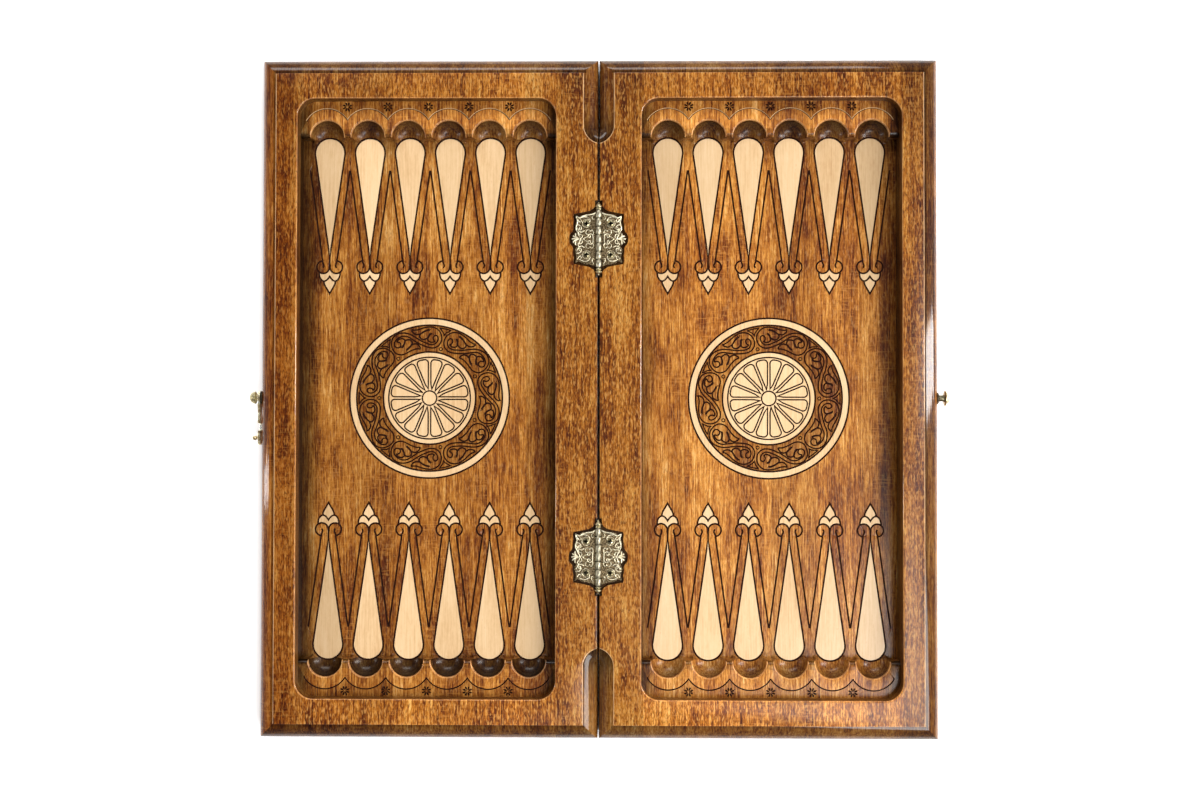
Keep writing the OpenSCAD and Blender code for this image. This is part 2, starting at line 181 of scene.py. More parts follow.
def line_position(p, a, b):
    """Distance of each point from each segment from a to b, and how far along it that is."""
    d, rel = b - a, p[:, None] - a[None]
    t = np.clip((rel * d).sum(2) / np.maximum((d * d).sum(1), 1e-12), 0, 1)
    return np.linalg.norm(rel - t[..., None] * d, axis=2), t


# ---- relief surfaces -----------------------------------------------------------------

class Relief:
    """A carved surface: a base height with strokes cut into it or raised on it.

    Every edge of a stroke is a line of the triangulation, so a cut stays crisp.
    """

    def __init__(self, base):
        self.base, self.lines, self.strokes = base, [], []

    def line(self, p, closed=False):
        self.lines.append((np.asarray(p, float), closed))

    def stroke(self, p, half, depth, closed=False, sides=(-1, 0, 1), round_top=False):
        p = np.asarray(p, float)
        half = np.broadcast_to(half, len(p)).astype(float)
        self.strokes.append((p, half, depth, closed, round_top))
        for s in sides:
            self.line(offset(p, s * half, closed) if s else p, closed)

    def cut(self, q):
        """How far the strokes lower each point."""
        best = np.zeros(len(q))
        for p, half, depth, closed, round_top in self.strokes:
            widest = half.max()
            near = np.all((q > p.min(0) - widest) & (q < p.max(0) + widest), axis=1).nonzero()[0]
            if closed:
                p, half = np.vstack([p, p[:1]]), np.r_[half, half[0]]
            for chunk in np.array_split(near, max(1, len(near) * len(p) // 2000000)):
                if not len(chunk):
                    continue
                gap, t = line_position(q[chunk], p[:-1], p[1:])
                width = half[:-1] + t * np.diff(half)
                f = np.clip(1 - gap / np.maximum(width, 1e-6), 0, 1)
                # a narrow place in a tapering stroke is cut less deep
                f = (f * np.minimum(1, width / widest)).max(1)
                if round_top:
                    f = np.sqrt(np.clip(1 - (1 - f) ** 2, 0, 1))
                deeper = np.abs(f * depth) > np.abs(best[chunk])
                best[chunk[deeper]] = f[deeper] * depth
        return best

    def build(self, keep, uncut=None):
        """Vertices, heights, upward triangles, their middles and the cut at each middle."""
        edges, n = [], 0
        for p, closed in self.lines:
            ring = list(range(n, n + len(p)))
            edges += list(zip(ring, ring[1:] + ring[:1] * closed))
            n += len(p)
        flat = [Vector(v) for v in np.vstack([p for p, _ in self.lines])]
        v, _, f, *_ = delaunay_2d_cdt(flat, edges, [], 0, 2e-3)
        v, f = np.array([tuple(c) for c in v]), np.array(f)
        (ax, ay), (bx, by) = (v[f[:, 1]] - v[f[:, 0]]).T, (v[f[:, 2]] - v[f[:, 0]]).T
        area = ax * by - ay * bx
        f[area < 0] = f[area < 0][:, ::-1]
        mid = v[f].mean(1)
        ok = (np.abs(area) > 1e-7) & keep(mid)
        f, mid = f[ok], mid[ok]
        cut_v, cut_f = self.cut(v), self.cut(mid)
        if uncut is not None:
            cut_v[uncut(v)] = 0
            cut_f[uncut(mid)] = 0
        return v, self.base(v) - cut_v, f, mid, cut_f


def closed_solid(v, z, f, bottom, chamfer=0.0):
    """A relief with side walls and an underside at the height bottom."""
    used, f = np.unique(f, return_inverse=True)
    v, z, f = v[used], z[used], f.reshape(-1, 3)
    edges = list(map(tuple, np.vstack([f[:, [0, 1]], f[:, [1, 2]], f[:, [2, 0]]])))
    have = set(edges)
    rim = [e for e in edges if e[::-1] not in have]
    index = {k: i for i, k in enumerate(dict.fromkeys(k for e in rim for k in e))}
    ring, n, m = list(index), len(v), len(index)
    levels = [(bottom + chamfer, 0.0), (bottom, chamfer)] if chamfer else [(bottom, 0.0)]
    lo, hi = v.min(0), v.max(0)
    verts = [np.c_[v, z]] + [np.c_[np.clip(v[ring], lo + inset, hi - inset),
                                   np.full(m, level)] for level, inset in levels]
    faces = [tuple(t) for t in f]
    for a, b in rim:
        upper = (a, b)
        for start in range(n, n + len(levels) * m, m):
            lower = (start + index[a], start + index[b])
            faces.append((upper[1], upper[0], *lower))
            upper = lower
    # the underside: the rim's one closed chain, or the same triangles upside down
    base = n + (len(levels) - 1) * m
    follow, chain = dict(rim), [rim[0][0]]
    while follow[chain[-1]] != chain[0]:
        chain.append(follow[chain[-1]])
    if len(chain) == m:
        faces.append(tuple(base + index[k] for k in reversed(chain)))
    else:
        inner = [k for k in range(n) if k not in index]
        low = {k: base + m + i for i, k in enumerate(inner)}
        low.update({k: base + i for k, i in index.items()})
        verts.append(np.c_[v[inner], np.full(len(inner), bottom)])
        faces += [tuple(low[k] for k in t[::-1]) for t in f]
    return np.vstack(verts), faces


# ---- objects -------------------------------------------------------------------------

def add_piece(name, node, slot, solid, materials=(), index=(), tone=(), smooth_angle=35):
    """A mesh that stands for a CAD node, on that node's body, in the materials given, else in its
    slot's material.

    The solid is in mm. Its first faces may have an index into other materials, and a tone,
    which is a factor on the colour.
    """
    verts, faces = solid
    count = len(faces)
    me = bpy.data.meshes.new(name)
    me.from_pydata([tuple(v) for v in verts * MM], [], faces)
    for key in materials or [slot]:
        me.materials.append(MAT[key])
    index = np.r_[index, np.zeros(count - len(index))].astype(np.int32)
    tone = np.r_[tone, np.ones(count - len(tone))].astype(np.float32)
    me.polygons.foreach_set("material_index", index)
    me.attributes.new("tone", "FLOAT", "FACE").data.foreach_set("value", tone)
    me.polygons.foreach_set("use_smooth", np.ones(count, bool))
    me.set_sharp_from_angle(angle=math.radians(smooth_angle))
    me.validate()
    ob = bpy.data.objects.new(name, me)
    bpy.context.scene.collection.objects.link(ob)
    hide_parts(node)
    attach(ob, BODY[node])


def mirrored(solid, axes):
    """The mirror image, with its faces still outward; axes has one -1 and two ones."""
    return solid[0] * axes, [t[::-1] for t in solid[1]]


def on_half(solid, label):
    """A solid laid out on the +X side, on the half it belongs to."""
    return mirrored(solid, [-1, 1, 1]) if label == "left" else solid


def moved(solid, by):
    return solid[0] + by, solid[1]


def together(parts):
    """Several vertex and face lists as one."""
    faces, n = [], 0
    for v, f in parts:
        faces += [tuple(i + n for i in t) for t in f]
        n += len(v)
    return np.vstack([v for v, _ in parts]), faces


def lathe(profile, axis, at, n=48):
    """Closed turned solid: profile holds (radius, distance along the axis)."""
    axis = np.array(axis, float)
    u = np.array([0, 0, 1.0]) if abs(axis[2]) < 0.9 else np.array([1.0, 0, 0])
    t = np.linspace(0, 2 * math.pi, n, endpoint=False)[:, None]
    spokes = u * np.cos(t) + np.cross(axis, u) * np.sin(t)
    verts, faces, rings = [], [], []
    for r, h in profile:
        count = n if r else 1
        rings.append(tuple(range(len(verts), len(verts) + count)))
        verts += list(at + axis * h + r * spokes[:count])
    for p, q in zip(rings, rings[1:]):
        for i in range(n):
            corners = [p[i % len(p)], p[(i + 1) % n % len(p)],
                       q[(i + 1) % n % len(q)], q[i % len(q)]]
            faces.append(tuple(dict.fromkeys(corners)))
    faces += [ring[::way] for ring, way in ((rings[0], -1), (rings[-1], 1)) if len(ring) > 1]
    return np.array(verts), faces


def tube(outer, bore, h0, h1, bevel, at, axis=(0, 1, 0), n=40):
    """Closed turned ring with bevelled ends."""
    section = [(bore, h0), (outer - bevel, h0), (outer, h0 + bevel), (outer, h1 - bevel),
               (outer - bevel, h1), (bore, h1)]
    v, f = lathe(section, axis, at, n)
    last = (len(section) - 1) * n
    # the bore's wall in place of the lathe's two caps
    return v, f[:-2] + [(last + i, last + (i + 1) % n, (i + 1) % n, i) for i in range(n)]


def dome(r, h, base, steps=8):
    """Profile of a shallow dome of radius r and height h."""
    big = (r * r + h * h) / (2 * h)
    a = np.linspace(math.asin(min(1, r / big)), 0, steps + 1)
    return list(zip(big * np.sin(a), base + h - big + big * np.cos(a)))


# ---- outlines of the light figures and of the cut lines ------------------------------

def teardrop():
    """Round end at |Y| = POINT_Y and a straight taper to the tip."""
    a = math.degrees(math.asin(POINT_R / (POINT_Y - TIP_Y)))
    head, tip = arc(0, POINT_Y, POINT_R, -a, 180 + a), [0, TIP_Y]
    return join(np.linspace(tip, head[0], 12)[:-1], head, np.linspace(head[-1], tip, 12)[1:-1])


CURL = (6.0, 118.5, 5.7)         # centre and radius of the curls beside a point's tip
LOBE_SIDE = [[9.3, 111.2], [8.6, 108.7], [6.9, 106.6], [4.9, 105.8], [2.9, 106.6],
             [1.3, 108.2], [0, 110.1]]


def crown():
    """The two joined lobes under the curls."""
    right = join(arc(*CURL, 196, 308), [[9.45, 112.7]], smooth(LOBE_SIDE))
    return join([[0, 116.9]], doubled(right, ACROSS))


def leaf_tip():
    """The pointed leaf below the lobes."""
    side = smooth([[4.9, 105.8], [5.1, 104.2], [4.2, 101.8], [2.4, 98.6], [0, 94.4]])
    return doubled(join(smooth(LOBE_SIDE[3:])[::-1], side), ACROSS)[:-1]


FIGURES = {"points": [teardrop()], "finials": [crown(), leaf_tip()]}


def at_points(end, kind):
    """The outlines of one row's figures; end is 1 far, -1 near."""
    return [shape * [1, end] + [x, 0] for x in POINT_XS for shape in FIGURES[kind]]


def point_cuts():
    """Open lines round one point: curls, the V sides and the short middle line."""
    curl = arc(*CURL, 168, 452)
    side = smooth([[17.9, 206.3], [12.2, 165], [6.55, 124.6], [5.9, 122.0], [5.35, 120.3],
                   [5.5, 118.9], [6.3, 117.9]], 1.2)
    middle = np.array([[0, TIP_Y + 0.5], [0, 122], [0.15, 119.2], [0, 116.9]])
    return [curl, curl * ACROSS, side, side * ACROSS, middle]


def ledge_arch():
    """The cut arch round one scoop, from cusp to cusp."""
    a = math.degrees(math.acos(PITCH / 2 / ARCH_R))
    return arc(0, ARCH_Y, ARCH_R, a, 180 - a)


def flower(x, y, petals=8):
    """Wedge cuts round a point, widening outward."""
    wedge = [[1.1, 0], [2.1, 0], [3.4, 0], [4.4, 0]]
    return [turn(wedge, 360 * (k + 0.5) / petals, (x, y)) for k in range(petals)]


WEDGE_HALF = [0.3, 0.7, 0.9, 0.25]


def petal():
    """A rosette petal along +X: straight sides and rounded outer corners."""
    start, reach, corner, gap = 8.4, 35, 3.2, 1.15
    a = math.pi / PETALS
    along, across = np.array([math.cos(a), math.sin(a)]), np.array([-math.sin(a), math.cos(a)])
    phi = a - math.asin((gap + corner) / (reach - corner))
    c = (reach - corner) * np.array([math.cos(phi), math.sin(phi)])
    side = np.linspace(start * along - gap * across, c + corner * across, 6)
    return doubled(join(side, arc(*c, corner, 90 + math.degrees(a), math.degrees(phi), 0.7),
                        arc(0, 0, reach, math.degrees(phi), 0)), ALONG)[:-1]


# one scroll unit of the carved band: (distance along the band, radius) pairs in mm
RIBBON_LOW = [(2.0, 63.9), (1.0, 63.25), (-1.0, 62.8), (-3.25, 62.6), (-5.75, 62.8),
              (-8.0, 63.05), (-10.5, 63.1), (-13.0, 62.9), (-15.5, 62.4), (-17.5, 61.6),
              (-19.25, 60.5), (-20.75, 59.0), (-21.9, 57.25), (-22.6, 55.25), (-22.9, 53.0),
              (-22.7, 50.75), (-22.1, 48.75), (-20.75, 46.5), (-18.75, 44.75),
              (-16.5, 43.75), (-14.25, 43.45), (-12.0, 43.75), (-10.0, 44.5), (-8.0, 45.55),
              (-6.0, 46.8), (-4.25, 48.05), (-2.5, 49.4), (-1.0, 50.6), (0.5, 52.0),
              (2.0, 53.5), (3.25, 54.9), (4.5, 56.1), (5.75, 57.4), (7.0, 58.4), (8.5, 59.2),
              (10.25, 59.7), (12.0, 59.9), (14.0, 59.6), (16.0, 59.0), (18.0, 57.9),
              (19.5, 56.4), (20.4, 54.5), (20.4, 52.75), (19.6, 51.5), (18.25, 50.7),
              (17.0, 50.6), (15.75, 51.1), (15.0, 52.1), (14.8, 53.5), (15.4, 54.9),
              (16.5, 55.5), (17.6, 55.9)]
RIBBON_HIGH = [(-1.6, 45.1), (0.0, 45.7), (2.0, 46.0), (4.5, 45.8), (7.0, 45.4),
               (9.5, 44.75), (12.0, 44.05), (14.5, 43.6), (16.75, 43.9), (19.0, 44.75),
               (20.75, 46.1), (22.0, 48.0), (22.75, 50.0), (23.05, 52.5), (22.95, 55.0),
               (22.4, 57.25), (21.25, 59.4), (19.75, 60.9), (18.0, 62.0), (16.0, 62.7),
               (14.0, 63.0), (12.0, 62.95), (9.5, 62.5), (7.25, 61.6), (5.0, 60.4),
               (3.0, 58.9), (1.5, 57.5), (0.0, 56.0), (-1.5, 54.4), (-3.0, 53.0),
               (-4.25, 51.9), (-5.75, 50.75), (-7.5, 49.5), (-9.25, 48.25), (-11.0, 47.25),
               (-13.0, 46.6), (-15.0, 46.6), (-16.75, 47.4), (-18.25, 48.6),
               (-19.25, 50.25), (-19.55, 52.0), (-18.9, 53.5), (-17.6, 54.1),
               (-16.4, 53.75), (-15.4, 52.5), (-15.05, 51.0), (-15.5, 49.6), (-16.1, 49.3)]
LEAF_LINES = [
    [(17.6, 55.9), (17.4, 56.6), (16.0, 57.6), (14.5, 58.05), (13.0, 58.1), (11.75, 57.6),
     (10.9, 56.75), (10.4, 55.75)],
    [(-16.1, 49.3), (-15.25, 48.8), (-13.75, 48.6), (-11.75, 49.4), (-10.5, 50.5),
     (-10.0, 52.0), (-10.6, 53.4)],
    [(-4.75, 58.4), (-3.0, 58.4), (-1.0, 58.7), (0.5, 59.6), (1.6, 61.0), (2.3, 62.5),
     (2.05, 63.8)],
    [(-1.6, 45.1), (-1.75, 46.5), (-1.25, 48.0), (-0.5, 49.25), (0.6, 50.25),
     (2.25, 50.8), (4.0, 50.75), (5.5, 50.4)]]
LOBES = [
    [(-14.25, 56.5), (-13.0, 56.2), (-11.75, 55.0), (-10.6, 53.5), (-9.0, 53.0),
     (-7.25, 52.7), (-5.5, 53.1), (-4.0, 54.4), (-3.4, 56.0), (-3.7, 57.5),
     (-4.75, 58.4), (-6.75, 59.1), (-9.0, 59.9), (-11.75, 60.3), (-13.6, 60.2)],
    [(10.4, 47.2), (9.0, 47.9), (7.0, 49.2), (5.5, 50.4), (4.6, 51.75), (4.5, 53.25),
     (5.1, 54.6), (6.4, 55.5), (8.25, 55.8), (9.9, 55.7), (10.75, 54.5), (11.4, 53.1),
     (12.25, 51.9), (13.25, 50.9), (14.3, 50.1)]]
# which way each unit leans, going round from the +X axis: 1 rises outward, -1 falls
LEAN = {"right": (1, -1, 1, -1, -1, 1, -1), "left": (1, -1, 1, 1, -1, 1, -1)}


def scroll_strokes():
    """Cuts of one unit of the carved band with their half widths."""
    out = []
    for lines, half, thicker in (((RIBBON_LOW, RIBBON_HIGH), 0.66, 0), (LEAF_LINES, 0.7, 0),
                                 (LOBES, 0.74, 0.3)):
        for line in lines:
            p = smooth(np.array(line)[:, ::-1], 0.7)
            # a lobe's line is thicker at both ends
            out.append((p, half + thicker * np.linspace(-1, 1, len(p)) ** 2))
    return out


def band_strokes(label):
    """All cuts of the carved band round one medallion, about its centre."""
    step = 360 / SCROLLS
    bead = arc(DISC + 3.7, 0, 1.4, 0, 345, 0.5)
    side = smooth([[63.7, 5.0], [61.6, 2.7], [60.4, 1.3], [58.0, 0]])
    wedge = join(arc(0, 0, 64.0, -4.5, 4.5, 1.2), doubled(side, ALONG))[:-1]
    out = []
    for k, lean in enumerate(LEAN[label]):
        out += [(turn(p * [1, lean], (k + 0.5) * step), h, False) for p, h in scroll_strokes()]
        out += [(turn(bead, k * step), 0.45, True), (turn(wedge, k * step), 0.6, True)]
    return out


# ---- the carved half -----------------------------------------------------------------

# the edge moulding: a cove, a small step and an eased corner, by distance from the edge
COVE_D = np.array([0, 0.6, 1.6, 3, 4.6, 6.4, 8.4, 10.5, EDGE_W])
STEP_D = np.r_[COVE_D, EDGE_W + np.array([0.1, 0.4, 0.9])]
STEP_Z = np.r_[EDGE_R - np.sqrt(EDGE_R ** 2 - (EDGE_W - COVE_D) ** 2) + EDGE_STEP, 0.4, 0.12, 0]
EASE_D, EASE_Z = [0, 0.2, 0.6], [0.6, 0.15, 0]     # the eased edge at the hinge-line face
RIM_D = np.array([-0.1, 0, 0.12, 0.35, 0.7, 1.1, 1.5])
RIM_Z = np.array([9.0, 1.1, 0.66, 0.32, 0.1, 0, 0])
# a scoop: flat bottom, ball-nose fillet and a softened rim, by distance from its centre
FILLET = LEDGE - FLOOR
SCOOP_RHO = np.array([0, SCOOP_R - FILLET, 4, 6, 8, 10, 11.8, 13.2, 14.2, 14.8, 15.0,
                      15.15, 15.4, 15.8, 16.3])
UP_WALL = np.clip(SCOOP_RHO - (SCOOP_R - FILLET), 0, FILLET)
SCOOP_Z = LEDGE - np.sqrt(FILLET ** 2 - UP_WALL ** 2)
SCOOP_Z[10:] = LEDGE - np.array([1.1, 0.66, 0.32, 0.08, 0])
WING_X, WING_L = [9, 13.5, 15.2, 19], [4.2, 3.6, 0.7, 0.5]   # fading sides of a scoop
TIP_R = 4.6                      # rounding of the ledge's fingers between the scoops
TIP_D = np.array([0, 0.5, 1.2, 2.2, 3.4, TIP_R])
TIP_DROP = TIP_R - np.sqrt(TIP_R ** 2 - (TIP_R - TIP_D) ** 2)
MORTISE = doubled(np.array([
    [-1, 36], [1.2, 33.6], [2.9, 30.0], [4.6, 27.2], [8, 24.9], [12, 24.0], [16.4, 23.2],
    [19.2, 22.6], [21.9, 22.3], [22.4, 20.0], [22.0, 16], [22.6, 12], [22.6, 8.6], [23.4, 6.4],
    [25.2, 4.6], [25.9, 2.4], [26.1, 0]]), ALONG)


def recess_distance(p):
    """Distance outside the rounded rectangle of the recess; negative inside."""
    half = np.array([(RECESS_X[1] - RECESS_X[0]) / 2, RECESS_Y]) - RECESS_R
    q = np.abs(p - [MID, 0]) - half
    return np.linalg.norm(np.maximum(q, 0), axis=1) + np.minimum(q.max(1), 0) - RECESS_R


def stop_distance(p):
    """Distance from the moulding cutter's path beside the hinge line."""
    start = np.where(p[:, 1] > 0, RUN_START[1], RUN_START[-1])
    y, beside = np.abs(p[:, 1]), p[:, 0] - FACE
    return np.where(y > start, beside, np.hypot(beside + BEARING, y - start) - BEARING)


def to_point(p):
    """Distance along X from the nearest point's middle line."""
    return np.abs(p[:, :1] - POINT_XS).min(1)


def recess_height(p):
    """The ledges at the two ends with their scoops, and the floor between them."""
    ay, dx = np.abs(p[:, 1]), to_point(p)
    ledge = np.minimum(np.interp(np.hypot(dx, ay - SCOOP_Y), SCOOP_RHO, SCOOP_Z),
                       LEDGE - np.interp(ay - FINGER_Y, TIP_D, TIP_DROP))
    fade = np.clip(1 - (FINGER_Y - ay) / np.interp(dx, WING_X, WING_L), 0, 1)
    clear = np.clip((np.hypot(dx, ay - POINT_Y) - POINT_R - 0.6) / 1.6, 0, 1)
    wing = FLOOR + (np.interp(dx, SCOOP_RHO, SCOOP_Z) - FLOOR) * fade ** 2 * clear
    return np.where(ay < FINGER_Y - 0.05, np.where(dx < PITCH / 2, wing, FLOOR), ledge)


def board_height(p):
    """The height of the half board without its cuts, at points of the plan."""
    u = p[:, 0]
    edge = np.minimum.reduce([HALF_W - u, HALF_L - np.abs(p[:, 1]), stop_distance(p)])
    z = TOP - np.maximum(np.interp(edge, STEP_D, STEP_Z), np.interp(u - FACE, EASE_D, EASE_Z))
    d = recess_distance(p)
    z = np.where(d < RIM_D[-1], TOP - np.interp(d, RIM_D, RIM_Z), z)
    z = np.where(d <= RIM_D[0] + 1e-4, recess_height(p), z)
    for q in (q for end in (1, -1) for kind in FIGURES for q in at_points(end, kind)):
        z[inside(p, shrink(q, 0.02))] = POCKET_Z
    r = np.hypot(u - MID, p[:, 1])
    z[(r < DISC - 0.02) | ((r > RING_I + 0.02) & (r < RING_O - 0.02))] = POCKET_Z
    for hy in (-HINGE_Y, HINGE_Y):
        z[inside(p - [0, hy], shrink(MORTISE, 0.03))] = PLATE_Z
        trench = (np.abs(p[:, 1] - hy) < TRENCH_HALF - 0.03) & (u < TRENCH_R)
        z[trench] = np.minimum(z, AXIS_Z - np.sqrt(np.maximum(TRENCH_R ** 2 - u ** 2, 0)))[trench]
    return z


def edge_lines(rel):
    """The edge moulding, its stopped runs and the hinge-line face."""
    corner = 1.6                     # radius of the outer vertical edges
    for d in STEP_D:
        c = max(corner - d, 0.02)
        rel.line(doubled(join([[FACE, HALF_L - d]], arc(HALF_W - d - c, HALF_L - d - c, c, 90, 0,
                                                        0.5)), ALONG))
        for end in (1, -1):
            a = math.degrees(math.acos(BEARING / (BEARING + d)))
            run = arc(FACE - BEARING, RUN_START[end], BEARING + d, -a, 0)
            rel.line(join(run, [[FACE + d, HALF_L]]) * [1, end])
    for end in (1, -1):
        for t in range(2, 44, 3):       # the painted shade's gradient along the stopped moulding
            y = end * (HALF_L - STOP[end] + t)
            rel.line([[FACE, y], [FACE + EDGE_W, y]])
    for d in EASE_D:
        rel.line([[FACE + d, -HALF_L], [FACE + d, HALF_L]])


def recess_lines(rel):
    """The rim of the recess."""
    x0, x1 = RECESS_X
    for d in RIM_D:
        r = RECESS_R + d
        upper = join(arc(x1 + d - r, RECESS_Y + d - r, r, 0, 90),
                     arc(x0 - d + r, RECESS_Y + d - r, r, 90, 180))
        rel.line(doubled(upper, ALONG), True)


def row_lines(rel, end):
    """One end of the recess: ledge, scoops and points; end is 1 far, -1 near."""
    for t in [-0.05, *TIP_D]:
        y = end * (FINGER_Y + t)
        rel.line([[RECESS_X[0] + 0.1, y], [RECESS_X[1] - 0.1, y]])
    for x in POINT_XS:
        for y in end * (FINGER_Y - np.array([0.4, 0.9, 1.6, 2.4, 3.4])):
            for s in (-1, 1):
                rel.line([[x + s * 8, y], [x + s * 18.1, y]])
        for dx in (10, 12, 13.5, 15.2, 16.5):
            for u in (x - dx, x + dx):
                rel.line([[u, end * (FINGER_Y - 3.9)], [u, end * (FINGER_Y + 1)]])
        for rho in SCOOP_RHO[1:]:
            rel.line(arc(x, SCOOP_Y, rho, 0, 180, 1.0) * [1, end])
        for rho in (16.5, 18.2, 20, 22, 24.5):      # the painted shade and pooled stain gradient beside the point
            rel.line(arc(x, SCOOP_Y, rho, 190, 350, 2.0) * [1, end])
        for p in point_cuts():
            rel.stroke(p * [1, end] + [x, 0], LINE, CUT)
        rel.stroke(ledge_arch() * [1, end] + [x, 0], 0.6, 0.8)
    for x in POINT_XS[:-1]:
        for p in flower(x + PITCH / 2, end * (SCOOP_Y + 27)):
            rel.stroke(p, WEDGE_HALF, 1.0)
    for s in (-1, 1):                   # the arches' outer tails
        x = MID + s * 3 * PITCH
        tail = smooth([[x, SCOOP_Y + 15.2], [x - s * 0.2, SCOOP_Y + 14.2]])
        rel.stroke(tail * [1, end], 0.6, 0.8)
    for kind in FIGURES:
        for q in at_points(end, kind):
            rel.stroke(q, LINE, CUT, True, sides=(0, -1 if turns_left(q) else 1))
            rel.line(shrink(q, 0.04), True)


def medallion_lines(rel, label):
    """The carved band of scrolls between the light ring and the light disc."""
    for rad, side in ((RING_O, -1), (RING_I, 1), (DISC, -1)):
        rel.stroke(circle(rad, at=(MID, 0)), LINE, CUT, True, sides=(0, side))
        rel.line(circle(rad + 0.04 * side, at=(MID, 0)), True)
    for p, h, closed in band_strokes(label):
        rel.stroke(p + [MID, 0], h, CUT, closed)


def hinge_lines(rel):
    """The mortises under the leaves and the trench under the barrel."""
    for hy in (-HINGE_Y, HINGE_Y):
        rel.line(MORTISE + [0, hy])
        rel.line(shrink(MORTISE, 0.06) + [0, hy])
        reach = TRENCH_HALF - 0.03
        for u in (1.4, 2.1, 2.5, 2.75, 3.0, 3.2, TRENCH_R - 0.01):
            rel.line([[u, hy - reach], [u, hy + reach]])
        for s in (-1, 1):
            for y in (hy + s * TRENCH_HALF, hy + s * (TRENCH_HALF - 0.05)):
                rel.line([[FACE, y], [TRENCH_R, y]])


def carve_board(label):
    """A half board on the +X side, with the material index and tone of its faces."""
    rel = Relief(board_height)
    edge_lines(rel)
    recess_lines(rel)
    for end in (1, -1):
        row_lines(rel, end)
    medallion_lines(rel, label)
    hinge_lines(rel)

    def keep(m):
        return (m[:, 0] > FACE) & (m[:, 0] < HALF_W) & (np.abs(m[:, 1]) < HALF_L)

    def in_pocket(m):
        return board_height(m) < (FLOOR + POCKET_Z) / 2

    v, z, f, mid, cut = rel.build(keep, in_pocket)
    # lines drawn past the hinge-line face are cut off there
    v[:, 0] = np.maximum(v[:, 0], FACE)
    tone, smooth_cut, pale_arch_mask = board_tone(mid, label)
    material = np.where((cut > 0.02) & ~pale_arch_mask, 1, np.where(smooth_cut | pale_arch_mask, 2, 0))
    return closed_solid(v, z, f, 0.0, 1.2), material, tone


# how light a face is painted: 1 is the bare panel; less is a thicker coat of stain, and painted
# shade; over 1.3 is rubbed wear and painted highlights
# painted shade in the scoops, by half and by end, with a painted sheen on the right half's near
# ones
SCOOP_SHADE = {"left": {1: 0.36, -1: 0.10}, "right": {1: 0.26, -1: 0.46}}
EDGE_TONE = {"left": 1.15, "right": 0.62}
BAND_TONE, LEDGE_TONE, ARCH_TONE, CUSP_TONE, FINGER_SHADE = 0.74, 0.85, 1.15, 0.8, 0.55
RIM_WEAR_AND_HIGHLIGHT, SCOOP_RIM_WEAR_AND_HIGHLIGHT, EDGE_RIM_WEAR_AND_HIGHLIGHT, ARCH_HIGHLIGHT = 1.65, 1.7, 2.0, 2.2
END_MOULDING_SHADE = {1: 0.46, -1: 0.36}       # painted shade on the moulding across the two ends
RUN_SHADE = ([2, 12, 26, 42], [0.14, 0.3, 0.66, 0.85])      # painted shade along a stopped moulding
UNDER_HINGE_SHADE = 0.12


